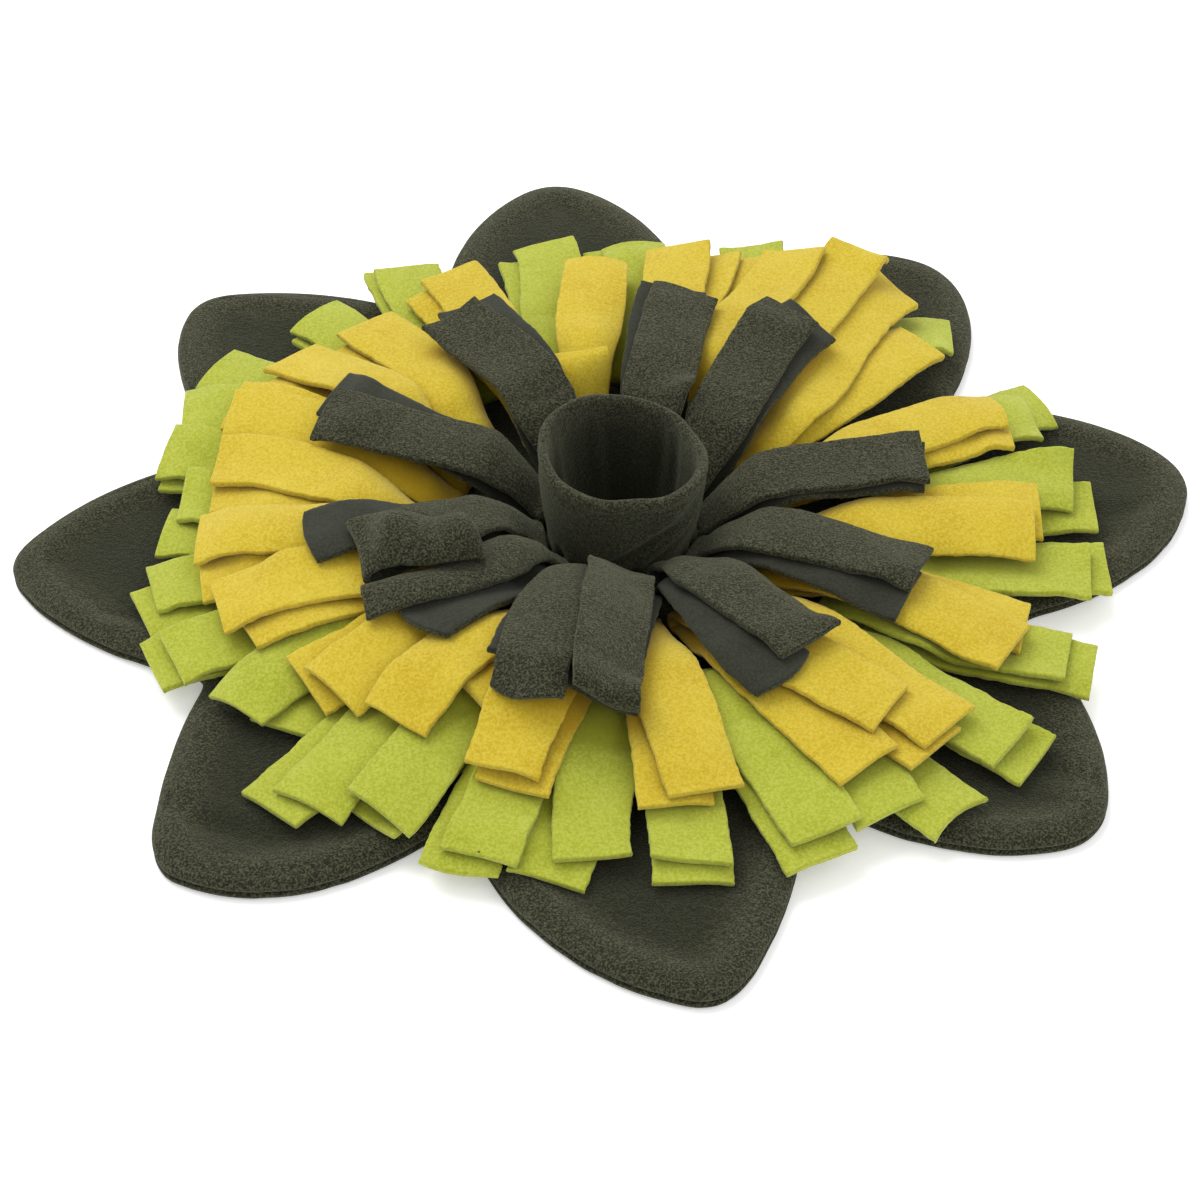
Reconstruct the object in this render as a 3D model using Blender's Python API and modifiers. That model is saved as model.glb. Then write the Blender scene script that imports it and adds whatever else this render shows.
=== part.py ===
# Snuffle mat: an eight-petalled fleece flower that lies flat, with a fleece cup
# in the middle and three rings of folded fleece strips sewn round the cup.
# Every strip is one band of cloth folded in half at its sewn root, so that it
# shows two tails: one under, one over.  Later strips lie on earlier ones.
# Frame: origin on the underside at the middle of the flower, +Z up, the side
# that faces the viewer towards -Y.  Tables are in millimetres and degrees.

import math

import bmesh
import bpy
import numpy as np

MM = 0.001

# ------------------------------------------------------------ driving sizes
CLOTH = 2.0            # fleece thickness of a strip
AIR = 0.6              # least air left between two layers
ROOT_AIR = 0.5         # air under a sewn root
MOST_LEAN = 1.8        # steepest cloth allowed for, as thickness upright
STRIP_WIDTH = 28.0     # cut width of every strip
LEG_STEPS = 6          # sections along one tail
ROOTWARD = 1.2         # above 1 sets the sections closer near the root
FOLD_STEPS = 3         # sections round one fold

BASE_SECTIONS = 96     # sections round the flower
BASE_FOOT = 2.6        # how far the flat underside stays inside the outline
TIP_SOFTEN = 2.6       # degrees over which a petal's point is rounded

CUP_AT = (5.0, -4.0)   # the cup stands a little off the middle
CUP_SECTIONS = 26
CUP_LEAN = 2.6         # the rim sags this much towards CUP_LEAN_AZ
CUP_LEAN_AZ = 320.0
CUP_OVAL = 0.025       # how oval the rim is
CUP_OVAL_AZ = 318.0

# ------------------------------------------------------------ the petals
# one row for each petal, anticlockwise: its point (azimuth, radius), the notch
# on its clockwise side (azimuth, radius), and how full each of its sides is
PETALS = (
    # tip_az tip_r  notch_az notch_r  full_cw full_ccw
    (9.4, 241.0, 343.5, 162.0, 1.60, 1.50),
    (51.6, 237.5, 31.0, 165.0, 1.55, 1.90),
    (96.0, 254.0, 76.0, 163.0, 1.60, 1.50),
    (138.0, 242.5, 116.5, 163.0, 1.15, 1.45),
    (184.0, 239.0, 161.0, 163.0, 1.25, 1.30),
    (226.8, 240.0, 207.5, 169.5, 0.90, 2.10),
    (279.6, 243.5, 250.5, 162.0, 1.50, 1.05),
    (318.0, 238.5, 297.0, 158.0, 1.60, 1.25),
)

# how the padded cloth rises from its flat underside to the middle of the top:
# distance in from the outline, height
RIM = (
    # inset  height
    (BASE_FOOT, 0.0),
    (0.7, 0.9),
    (0.0, 2.9),
    (0.5, 5.0),
    (2.6, 6.9),
    (7.5, 8.2),
)
# further in, each ring is a share of the outline drawn towards a circle
CROWN = (
    # share  roundness height
    (0.86, 0.15, 8.4),
    (0.66, 0.45, 7.6),
    (0.40, 0.85, 8.0),
)
CROWN_MIDDLE = 8.0

# ------------------------------------------------------------ the cup
# a doubled wall with a rolled rim, from its outer foot over the rim to its
# inner foot: radius, height above the base's top
CUP_WALL = (
    # radius  height
    (26.2, 0.4),
    (28.0, 5.5),
    (30.2, 13.0),
    (32.2, 24.0),
    (32.9, 35.0),
    (33.5, 42.5),
    (33.0, 46.4),
    (31.2, 47.6),
    (29.4, 46.0),
    (29.0, 40.0),
    (28.2, 26.0),
    (25.6, 11.0),
    (23.4, 0.4),
)

# ------------------------------------------------------------ the rings
# centre, radius of the roots, width of a pinched root and the length over which
# it opens to the full width, height of a root's fold, height that the under and
# over tails arch to, share of the way to that crest
RINGS = {
    #        cx   cy   root_r root_w spread fold under over crest_at
    "lime": (0.0, 0.0, 98.0, 17.0, 34.0, 4.6, 13.5, 17.5, 0.36),
    "sun": (0.0, 0.0, 64.0, 14.5, 50.0, 4.6, 20.0, 24.5, 0.36),
    "grey": (5.0, -4.0, 35.0, 13.0, 44.0, 4.6, 29.0, 33.5, 0.36),
}
RING_ORDER = ("lime", "sun", "grey")

# one row for each strip.  root: azimuth of its sewn fold.  Each tail: azimuth
# and radius of the middle of its cut end, how far the end is turned from
# pointing straight out (+ anticlockwise), the end's height, and how much higher
# its anticlockwise corner is than the other.
STRIPS = (
    # name     root | under: az reach turn end roll | over: az reach turn end roll
    ("lime_01", 359, (3, 195, 2, 12, 0), (5.4, 187, -10, 18, 0)),
    ("lime_02", 17, (23, 197, 0, 14, 0), (19.2, 184.9, -5, 17, 3)),
    ("lime_03", 41, (42, 184, -40, 14, -4), (39.1, 189.5, -45, 17, -5)),
    ("lime_04", 67, (73, 186, 12, 15, -2), (70.3, 189.8, 22, 20, -6)),
    ("lime_05", 84, (89, 184, 6, 15, 0), (86.4, 183.6, 12, 19, -4)),
    ("lime_06", 102, (101, 183, 4, 14, 0), (98.6, 188, 8, 18, -3)),
    ("lime_07", 120, (119, 193, -19, 15, 0), (118, 189, -19, 18, 0)),
    ("lime_08", 134, (134, 182, 0, 13, 0), (133.2, 185, 4, 17, 0)),
    ("lime_09", 148, (151, 187, 0, 13, 0), (149.6, 192, 3, 17, 0)),
    ("lime_10", 161, (160.4, 183.2, 16, 13, 0), (159.3, 187.4, 20, 17, 0)),
    ("lime_11", 173.5, (168.7, 181, 0, 12, 0), (167.9, 183.7, 3, 15, -3)),
    ("lime_12", 187, (182, 176, -4, 14, 0), (176.8, 169.7, -6, 18, 0)),
    ("lime_13", 200, (196.4, 187, 8, 13, 0), (193.4, 181, -3, 17, 0)),
    ("lime_14", 212, (205.5, 190.4, 0, 12, 0), (206.6, 183.3, 5, 16, 0)),
    ("lime_15", 223.5, (224.3, 166, 18, 12, 0), (218.2, 175, 6, 15, 0)),
    ("lime_16", 235, (231.9, 197, -5, 11, 0), (235.7, 190, -2, 15, 0)),
    ("lime_17", 247, (242, 183, -12, 12, 0), (243.7, 182.8, -12, 16, 0)),
    ("lime_18", 258.5, (254.1, 192, 4, 11, 0), (256, 187.4, -5, 15, 0)),
    ("lime_19", 270, (263.4, 189.4, -14, 11, -4), (268, 182.1, 8, 15, 0)),
    ("lime_20", 281, (278.9, 192, -8, 11, 0), (279, 186, -6, 15, 0)),
    ("lime_21", 292, (292.3, 196, 0, 13, 0), (293.8, 188.8, -2, 17, 0)),
    ("lime_22", 304, (307.8, 203, 8, 13, 0), (301.7, 190, -8, 16, 0)),
    ("lime_23", 317, (319.8, 204, 8, 13, 0), (318.8, 195, 2, 18, 0)),
    ("lime_24", 330, (334.8, 201, 7, 13, 0), (334.4, 191, 7, 17, 0)),
    ("lime_25", 344, (352.2, 197, 6, 13, 0), (349.9, 190, 6, 17, 0)),

    ("sun_01", 14, (14.8, 168, -8, 21, -2), (18.3, 167, -5, 26, -3)),
    ("sun_02", 30, (37.9, 168, 0, 26, 0), (47.7, 186, -8, 29, 0)),
    ("sun_03", 46, (59.8, 183.2, 8, 28, -12), (54.2, 185.3, 4, 32, 0)),
    ("sun_04", 62, (67, 174, 6, 27, -8), (62.2, 173.5, 8, 32, -12)),
    ("sun_05", 78, (74.7, 169, 8, 27, -4), (79.3, 168, 10, 32, -6)),
    ("sun_06", 97, (91.6, 155, -5, 31, 0), (99.3, 82, -2, 38, 0)),
    ("sun_07", 116, (118, 160, 4, 25, 0), (114.9, 164, 9, 28, 0)),
    ("sun_08", 139, (134.5, 152, -4, 23, 0), (131.8, 155, -6, 26, 0)),
    ("sun_09", 155.5, (149.3, 156.1, -4, 22, 0), (146.1, 159.6, -5, 24, 0)),
    ("sun_10", 171.5, (159.6, 163.5, 6, 22, 0), (163.2, 160.5, 6, 24, 0)),
    ("sun_11", 187.5, (178.5, 156.1, 2, 21, 0), (173.6, 156.6, 0, 25, 0)),
    ("sun_12", 203, (195.3, 162, -8, 22, 0), (189.1, 160.9, -4, 25, 0)),
    ("sun_13", 218.5, (208.6, 155.4, -8, 19, 0), (203.9, 160.9, -6, 22, 0)),
    ("sun_14", 233.5, (223.3, 152.5, -12, 21, 0), (227.8, 150.3, -7, 24, 0)),
    ("sun_15", 248.5, (245.5, 124, -25, 23, 0), (238.8, 148.5, 1, 26, 0)),
    ("sun_16", 264, (257.8, 160.8, -3, 22, 0), (256.1, 157.9, 0, 25, 0)),
    ("sun_17", 281, (278.3, 164.2, -4, 21, 0), (282.1, 162.6, 6, 24, 0)),
    ("sun_18", 299, (302.5, 172.6, 4, 22, 0), (309.9, 158.7, 12, 26, 5)),
    ("sun_19", 315.5, (311, 179.3, 4, 20, 0), (314.1, 177, 6, 24, 0)),
    ("sun_20", 331.5, (336, 172, 2, 21, 0), (330.6, 173, 0, 24, 0)),
    ("sun_21", 347.5, (358.1, 170, -2, 22, 0), (352.8, 166.9, 0, 24, 0)),

    ("grey_01", 6, (4.3, 125, -2, 34, 0), (4.9, 125, 0, 37, 0)),
    ("grey_02", 41, (48.5, 128.4, -4, 38, 0), (50.9, 121.4, -5, 42, 0)),
    ("grey_03", 74, (77.3, 124.5, -3, 38, 8), (74, 120, 0, 42, 8)),
    ("grey_04", 123, (117.2, 129, 1, 37, 0), (122.8, 120.7, 6, 40, -6)),
    ("grey_05", 158, (155.6, 121.7, -5, 35, 0), (162.9, 117.5, -6, 38, 0)),
    ("grey_06", 191, (200.6, 121.3, -4, 33, 0), (210.0, 107, -8, 37, 0)),
    ("grey_07", 220, (231.7, 112.9, -6, 29, 0), (218.8, 116.7, -30, 34, 7)),
    ("grey_08", 246.5, (255, 118, 0, 28, 0), (257.2, 134.9, -2, 31, 0)),
    ("grey_09", 273, (268.1, 127.6, -2, 27, 0), (270.6, 130.9, -1, 31, 0)),
    ("grey_10", 303, (300, 128.5, 15, 28, 0), (306.8, 123.3, 0, 34, 0)),
    ("grey_11", 334, (329.9, 130, 4, 32, 0), (335.4, 130, 3, 36, -5)),
)

# a tail that is turned back at its end: which tail, over it (+1) or under it
# (-1), azimuth and radius of the cut end, its turn, its height, the fold's height
TURNED_BACK = {
    "grey_06": ("over", 1, 221.5, 75, 165, 41, 5.0),
    "sun_15": ("under", 1, 256.0, 98, 140, 26, 5.0),
}
# a strip whose sewn fold stands up as a loop: radius, height of the fold
LOOPED = {"lime_12": (106.0, 15.0)}
# a tail cut short: length over which it opens to full width, where it crests
SHORT = {"sun_06": (14.0, 0.9)}

# strips whose tails lie on both of their neighbours; the others lie in turn,
# each on the one before it
LAID_LATE = ("lime_21", "sun_06", "sun_18", "grey_06")

COLOURS = {
    # name: colour (linear), roughness
    "lime": ((0.42, 0.52, 0.07, 1.0), 0.95),
    "sun": ((0.80, 0.58, 0.07, 1.0), 0.95),
    "grey": ((0.050, 0.052, 0.044, 1.0), 0.95),
}


# ------------------------------------------------------------ small helpers
def toward(az):
    a = math.radians(az)
    return np.array([math.cos(a), math.sin(a)])


def polar(az, r):
    return toward(az) * r


def ease(t):
    t = np.clip(t, 0.0, 1.0)
    return t * t * (3.0 - 2.0 * t)


def lattice(m):
    """Weights of points spread evenly over a triangle, m steps to a side."""
    return np.array([(i, j, m - i - j) for i in range(m + 1)
                     for j in range(m + 1 - i)], float) / m


def steepness(xy, z):
    """How much longer each triangle's thickness is when measured upright."""
    a = np.concatenate([xy[:, 1] - xy[:, 0], (z[:, 1] - z[:, 0])[:, None]], 1)
    b = np.concatenate([xy[:, 2] - xy[:, 0], (z[:, 2] - z[:, 0])[:, None]], 1)
    n = np.cross(a, b)
    flat = np.maximum(np.abs(n[:, 2]), 1e-9)
    return np.minimum(np.linalg.norm(n, axis=1) / flat, 3.0)


class Pile:
    """The height of everything laid so far, on a square grid."""
    cell = 1.0
    half = 270.0

    def __init__(self):
        n = int(2 * self.half / self.cell)
        self.n = n
        self.top = np.full((n, n), -50.0)

    def at(self, x, y):
        i = np.clip(((x + self.half) / self.cell).astype(int), 1, self.n - 2)
        j = np.clip(((y + self.half) / self.cell).astype(int), 1, self.n - 2)
        return i, j

    def look(self, x, y):
        i, j = self.at(x, y)
        return self.top[i, j]

    def add(self, xy, z, tri, half_thick, m=30):
        w = lattice(m)
        txy, tz = xy[tri], z[tri]
        up = half_thick * steepness(txy, tz)
        p = np.einsum("km,tmc->tkc", w, txy).reshape(-1, 2)
        h = (np.einsum("km,tm->tk", w, tz) + up[:, None]).ravel()
        i, j = self.at(p[:, 0], p[:, 1])
        for di, dj in ((0, 0), (1, 0), (-1, 0), (0, 1), (0, -1)):
            np.maximum.at(self.top, (i + di, j + dj), h)


def ladder(steps):
    """Triangles of a band two points wide and so many steps long."""
    out = []
    for i in range(steps):
        a, b, c, d = 2 * i, 2 * i + 1, 2 * i + 3, 2 * i + 2
        out += [(a, b, c), (a, c, d)]
    return np.array(out)


def settle(pile, xy, z, tri, held):
    """Lift a band until it clears the pile; a held point stays."""
    w = lattice(10)
    txy = xy[tri]
    p = np.einsum("km,tmc->tkc", w, txy)
    floor = pile.look(p[..., 0], p[..., 1])
    free = np.where(held, 0.0, 1.0)[tri]
    share = w[None] * free[:, None, :]
    room = (share ** 2).sum(2)
    counts = room > 0.20                    # nearer a held edge it stays
    share = share / np.maximum(room, 0.30)[:, :, None]
    z = z.copy()
    for _ in range(80):
        tz = z[tri]
        lean = np.minimum(steepness(txy, tz), MOST_LEAN)[:, None]
        need = (floor + AIR + 0.5 * CLOTH * lean
                - np.einsum("km,tm->tk", w, tz))
        need = np.where(counts, np.clip(need, 0.0, None), 0.0)
        if need.max() < 0.01:
            break
        lift = np.zeros_like(z)
        push = 0.7 * need[:, :, None] * share
        for k in range(3):
            np.maximum.at(lift, tri[:, k], push[:, :, k].max(1))
        z += lift
    return z


# ------------------------------------------------------------ one tail
class Leg:
    """One tail: from a start (place, heading) to its end."""

    def __init__(self, start, heading, end, end_heading, root_w, z0, crest,
                 z1, roll, crest_at, steps, spread=1.0):
        fine = np.linspace(0.0, 1.0, 81)
        chord = np.linalg.norm(end - start)
        m0, m1 = heading * chord * 0.9, end_heading * chord * 0.9
        h = [2 * fine ** 3 - 3 * fine ** 2 + 1, fine ** 3 - 2 * fine ** 2 + fine,
             -2 * fine ** 3 + 3 * fine ** 2, fine ** 3 - fine ** 2]
        line = (h[0][:, None] * start + h[1][:, None] * m0
                + h[2][:, None] * end + h[3][:, None] * m1)
        run = np.concatenate([[0.0], np.cumsum(
            np.linalg.norm(np.diff(line, axis=0), axis=1))])
        self.length = run[-1]
        s = self.length * np.linspace(0.0, 1.0, steps + 1) ** ROOTWARD
        mid = np.stack([np.interp(s, run, line[:, 0]),
                        np.interp(s, run, line[:, 1])], 1)
        way = np.gradient(mid, s, axis=0)
        way[0], way[-1] = heading, end_heading
        way /= np.linalg.norm(way, axis=1)[:, None]
        side = np.stack([-way[:, 1], way[:, 0]], 1)
        width = root_w + (STRIP_WIDTH - root_w) * ease(s / spread)
        self.steps = steps
        self.xy = np.stack([mid + side * width[:, None] / 2,
                            mid - side * width[:, None] / 2], 1)
        t = s / self.length
        rise = z0 + (crest - z0) * ease(t / crest_at)
        fall = crest + (z1 - crest) * ease((t - crest_at) / (1 - crest_at))
        z = np.where(t < crest_at, rise, fall)
        tilt = roll * t ** 1.5 / 2
        self.z = np.stack([z + tilt, z - tilt], 1)
        self.way = way

    def lay(self, pile, hold_start=True, stiff=2):
        xy, tri = self.xy.reshape(-1, 2), ladder(self.steps)
        z = self.z.reshape(-1)
        held = np.zeros(len(z), bool)
        if hold_start:
            held[:2] = True
        for k in range(stiff + 1):
            z = settle(pile, xy, z, tri, held)
            if k < stiff:                       # cloth bridges, it never dents
                g = z.reshape(-1, 2)
                g[1:-1] = np.maximum(
                    g[1:-1], 0.5 * g[1:-1] + 0.25 * (g[:-2] + g[2:]))
                z = g.reshape(-1)
        self.z = z.reshape(-1, 2)
        pile.add(xy, z, tri, CLOTH / 2)


def fold_rows(xy, low, high, inward, steps):
    """Rows of points round the fold that joins two tails, low to high."""
    out_xy, out_z = [], []
    for k in range(1, steps):
        a = math.pi * k / steps
        r = (high - low) / 2
        mid = (high + low) / 2
        out_xy.append(xy + inward[None] * (np.abs(r) * math.sin(a))[:, None])
        out_z.append(mid - r * math.cos(a))
    return out_xy, out_z


# ------------------------------------------------------------ the flower base
def outline(az):
    """Radius of the flower's outline at an azimuth, before its points soften."""
    az = az % 360.0
    best = None
    for k, row in enumerate(PETALS):
        tip, tip_r, cw, cw_r, full_cw, _ = row
        nxt = PETALS[(k + 1) % len(PETALS)]
        ccw, ccw_r, full_ccw = nxt[2], nxt[3], row[5]
        d = (az - tip + 180.0) % 360.0 - 180.0
        back = (tip - cw) % 360.0
        ahead = (ccw - tip) % 360.0
        if -back <= d <= 0.0:
            u = (d + back) / back
            best = cw_r + (tip_r - cw_r) * (1 - (1 - u) ** full_cw)
        elif 0.0 <= d <= ahead:
            u = (ahead - d) / ahead
            best = ccw_r + (tip_r - ccw_r) * (1 - (1 - u) ** full_ccw)
    return best


def soft_outline(sections):
    az = np.arange(sections) * 360.0 / sections
    offs = np.linspace(-TIP_SOFTEN, TIP_SOFTEN, 7)
    r = np.array([np.mean([outline(a + o) for o in offs]) for a in az])
    return az, r


def base_rings():
    az, r = soft_outline(BASE_SECTIONS)
    d = np.stack([np.cos(np.radians(az)), np.sin(np.radians(az))], 1)
    edge = d * r[:, None]
    along = np.roll(edge, -1, 0) - np.roll(edge, 1, 0)
    out = np.stack([along[:, 1], -along[:, 0]], 1)
    out /= np.linalg.norm(out, axis=1)[:, None]
    rings = []
    for inset, z in RIM:
        p = edge - out * inset
        rings.append(np.concatenate([p, np.full((len(p), 1), z)], 1))
    for share, round_, z in CROWN:
        rr = share * (r * (1 - round_) + 175.0 * round_)
        p = d * rr[:, None]
        rings.append(np.concatenate([p, np.full((len(p), 1), z)], 1))
    return rings


# ------------------------------------------------------------ making objects
def material(name, colour, rough):
    mat = bpy.data.materials.new(name)
    mat.use_nodes = True
    shader = mat.node_tree.nodes["Principled BSDF"]
    shader.inputs["Base Color"].default_value = colour
    shader.inputs["Roughness"].default_value = rough
    shader.inputs["Metallic"].default_value = 0.0
    mat.diffuse_color = colour
    return mat


def add_mesh(name, verts, faces, coll, parent, mat, smooth=True):
    mesh = bpy.data.meshes.new(name)
    mesh.from_pydata([tuple(float(c) * MM for c in v) for v in verts], [], faces)
    mesh.update()
    if smooth:
        mesh.shade_smooth()
    mesh.materials.append(mat)
    obj = bpy.data.objects.new(name, mesh)
    coll.objects.link(obj)
    obj.parent = parent
    return obj


def loft(rings, close_first, apex):
    """Faces between closed rings of equal count; the first may be one flat
    face, the last may run to a single middle point."""
    n = len(rings[0])
    verts = [tuple(p) for ring in rings for p in ring]
    faces = []
    for k in range(len(rings) - 1):
        a, b = k * n, (k + 1) * n
        for i in range(n):
            j = (i + 1) % n
            faces.append((a + i, a + j, b + j, b + i))
    if close_first:
        faces.append(tuple(range(n - 1, -1, -1)))
    if apex is not None:
        verts.append(apex)
        top, last = len(verts) - 1, (len(rings) - 1) * n
        for i in range(n):
            faces.append((last + i, last + (i + 1) % n, top))
    return verts, faces


def build_base(coll, parent, mat, pile):
    rings = base_rings()
    verts, faces = loft(rings, True, (0.0, 0.0, CROWN_MIDDLE))
    obj = add_mesh("base", verts, faces, coll, parent, mat)
    v = np.array(verts)
    tri = []
    for f in faces:
        if len(f) > 4:
            continue
        for k in range(1, len(f) - 1):
            tri.append((f[0], f[k], f[k + 1]))
    tri = np.array(tri)
    flat = np.abs(np.cross(v[tri[:, 1], :2] - v[tri[:, 0], :2],
                           v[tri[:, 2], :2] - v[tri[:, 0], :2])) > 1.0
    pile.add(v[:, :2], v[:, 2], tri[flat], 0.0, m=24)
    return obj


def build_cup(coll, parent, mat):
    rings = []
    top = max(h for _, h in CUP_WALL)
    for radius, height in CUP_WALL:
        ring = []
        for i in range(CUP_SECTIONS):
            a = 360.0 * i / CUP_SECTIONS
            up = (height / top) ** 2
            oval = 1.0 + CUP_OVAL * up * math.cos(2 * math.radians(a - CUP_OVAL_AZ))
            x, y = toward(a) * radius * oval
            sag = CUP_LEAN * up * math.cos(math.radians(a - CUP_LEAN_AZ))
            ring.append((x, y, height - sag))
        rings.append(ring)
    n = CUP_SECTIONS
    verts = [p for ring in rings for p in ring]
    faces = []
    m = len(rings)
    for k in range(m):
        a, b = k * n, ((k + 1) % m) * n
        for i in range(n):
            j = (i + 1) % n
            faces.append((a + i, a + j, b + j, b + i))
    obj = add_mesh("cup", verts, faces, coll, parent, mat)
    obj.location = (CUP_AT[0] * MM, CUP_AT[1] * MM, CROWN_MIDDLE * MM)
    return obj


def strip_plan(row):
    """The tails of one strip, each in its plan and its own natural arch."""
    name, root, under, over = row
    (cx, cy, root_r, root_w, spread, fold, low, high,
     crest_at) = RINGS[name.split("_")[0]]
    root_r, fold = LOOPED.get(name, (root_r, fold))
    out = toward(root)
    start = np.array([cx, cy]) + out * root_r
    z0 = CROWN_MIDDLE + ROOT_AIR + CLOTH / 2
    legs = {}
    for key, tail, crest, z in (("under", under, low, z0),
                                ("over", over, high, z0 + fold)):
        az, reach, turn, end, roll = tail
        crest = max(crest, end, z)
        wide, at = spread, crest_at
        if key == "over":
            wide, at = SHORT.get(name, (wide, at))
        legs[key] = Leg(start, out, polar(az, reach), toward(az + turn), root_w,
                        z, crest, end, roll, at, LEG_STEPS, wide)
    return legs


def turned_back(name, leg):
    """The turned-back end of a tail, starting where the tail ends."""
    _, way, az, reach, turn, end, fold = TURNED_BACK[name]
    start = leg.xy[-1].mean(0)
    z0 = leg.z[-1].mean() + way * fold
    return Leg(start, -leg.way[-1], polar(az, reach), toward(az + turn),
               STRIP_WIDTH, z0, max(z0, end), end, 0.0, 0.5, 2)


def lay_tail(name, key, legs, pile):
    """Lay one tail of a strip, with its turned-back end if it has one."""
    tail, way, *_, fold = TURNED_BACK.get(name, ("", 1, 0.0))
    leg = legs[key]
    if key != tail:
        leg.lay(pile)
        return
    if way < 0:                             # the end goes under its own tail
        back = turned_back(name, leg)
        back.lay(pile, hold_start=False)
        leg.z[-1] = back.z[0][::-1] + fold
        leg.lay(pile, stiff=1)
    else:                                   # the end lies on its own tail
        leg.lay(pile)
        back = turned_back(name, leg)
        back.lay(pile)
    legs["back"] = back
    xy, z = join_rows(leg, back)
    pile.add(xy.reshape(-1, 2), z.reshape(-1), ladder(len(z) - 1), CLOTH / 2)


def build_strips(coll, parent, mats, pile):
    made = {}
    for ring in RING_ORDER:
        rows = [r for r in STRIPS if r[0].startswith(ring)]
        plans = {r[0]: strip_plan(r) for r in rows}
        rows.sort(key=lambda r: r[0] in LAID_LATE)
        for key in ("under", "over"):
            for row in rows:
                lay_tail(row[0], key, plans[row[0]], pile)
        for row in rows:
            made[row[0]] = band_rows(row[0], plans[row[0]])
            build_strip(row[0], made[row[0]], coll, parent, mats[ring])
    return made


def join_rows(leg, back):
    """Rows round the fold between a tail and its turned-back end."""
    a, b = leg.z[-1], back.z[0][::-1]
    f_xy, f_z = fold_rows(leg.xy[-1], a, b, leg.way[-1], FOLD_STEPS)
    end = back.xy[0][::-1]
    return (np.array([leg.xy[-1]] + f_xy + [end]), np.array([a] + f_z + [b]))


def band_rows(name, legs):
    """One strip as rows of two points, from one cut end to the other."""
    under, over = legs["under"], legs["over"]
    f_xy, f_z = fold_rows(under.xy[0], under.z[0], over.z[0], -under.way[0],
                          FOLD_STEPS)
    xy = list(under.xy[::-1]) + f_xy + list(over.xy)
    z = list(under.z[::-1]) + f_z + list(over.z)
    if "back" in legs:
        back, tail = legs["back"], TURNED_BACK[name][0]
        f_xy, f_z = join_rows(legs[tail], back)
        more_xy = list(f_xy[1:-1]) + [p[::-1] for p in back.xy]
        more_z = list(f_z[1:-1]) + [p[::-1] for p in back.z]
        if tail == "over":
            xy, z = xy + more_xy, z + more_z
        else:
            xy, z = more_xy[::-1] + xy, more_z[::-1] + z
    return np.array(xy), np.array(z)


def build_strip(name, rows, coll, parent, mat):
    xy, z = rows
    verts = [(xy[i, k, 0], xy[i, k, 1], z[i, k])
             for i in range(len(z)) for k in (0, 1)]
    faces = [tuple(int(v) for v in f) for f in ladder(len(z) - 1)]
    obj = add_mesh(name, verts, faces, coll, parent, mat)
    shell = obj.modifiers.new("cloth", "SOLIDIFY")
    shell.thickness = CLOTH * MM
    shell.offset = 0.0
    shell.use_even_offset = False
    return obj


def main():
    for obj in list(bpy.data.objects):
        bpy.data.objects.remove(obj, do_unlink=True)
    coll = bpy.data.collections.new("snuffle_mat")
    bpy.context.scene.collection.children.link(coll)
    root = bpy.data.objects.new("mat_origin", None)
    coll.objects.link(root)
    mats = {k: material("fleece_" + k, *v) for k, v in COLOURS.items()}
    pile = Pile()
    build_base(coll, root, mats["grey"], pile)
    build_cup(coll, root, mats["grey"])
    build_strips(coll, root, mats, pile)


main()
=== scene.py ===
# Looks of the snuffle mat: a padded eight-petalled fleece flower, a rolled-rim
# fleece cup, and three rings of folded fleece strips laid one over the other.
# Sizes in the tables are millimetres and degrees; the scene is in metres.
import math

import bmesh
import bpy
import numpy as np
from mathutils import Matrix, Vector, noise
from mathutils.kdtree import KDTree


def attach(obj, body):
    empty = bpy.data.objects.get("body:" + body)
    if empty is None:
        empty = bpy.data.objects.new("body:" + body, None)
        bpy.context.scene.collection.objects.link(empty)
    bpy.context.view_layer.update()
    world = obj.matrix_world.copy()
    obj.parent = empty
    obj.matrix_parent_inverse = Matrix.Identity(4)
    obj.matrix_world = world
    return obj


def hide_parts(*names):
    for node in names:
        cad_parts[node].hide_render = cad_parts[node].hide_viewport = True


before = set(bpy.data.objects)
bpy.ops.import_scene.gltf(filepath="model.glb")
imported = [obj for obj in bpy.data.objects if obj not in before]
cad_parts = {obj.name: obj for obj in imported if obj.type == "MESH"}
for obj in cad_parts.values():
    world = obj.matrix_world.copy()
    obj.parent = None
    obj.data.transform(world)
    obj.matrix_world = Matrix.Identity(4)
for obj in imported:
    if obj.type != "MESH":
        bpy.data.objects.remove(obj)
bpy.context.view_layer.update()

MM = 0.001
RNG = np.random.RandomState(7)

# ------------------------------------------------------------ driving sizes
CLOTH = 2.0
AIR = 0.6
ROOT_AIR = 0.5
MOST_LEAN = 1.8
STRIP_WIDTH = 28.0
LEG_STEPS = 6
ROOTWARD = 1.2
CROWN_MIDDLE = 8.0
TIP_SOFTEN = 2.6
CUP_AT = (5.0, -4.0)
CUP_LEAN, CUP_LEAN_AZ = 2.6, 320.0
CUP_OVAL, CUP_OVAL_AZ = 0.025, 318.0

PETALS = (
    # tip_az tip_r  notch_az notch_r  full_cw full_ccw
    (9.4, 241.0, 343.5, 162.0, 1.60, 1.50),
    (51.6, 237.5, 31.0, 165.0, 1.55, 1.90),
    (96.0, 254.0, 76.0, 163.0, 1.60, 1.50),
    (138.0, 242.5, 116.5, 163.0, 1.15, 1.45),
    (184.0, 239.0, 161.0, 163.0, 1.25, 1.30),
    (226.8, 240.0, 207.5, 169.5, 0.90, 2.10),
    (279.6, 243.5, 250.5, 162.0, 1.50, 1.05),
    (318.0, 238.5, 297.0, 158.0, 1.60, 1.25),
)

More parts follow.
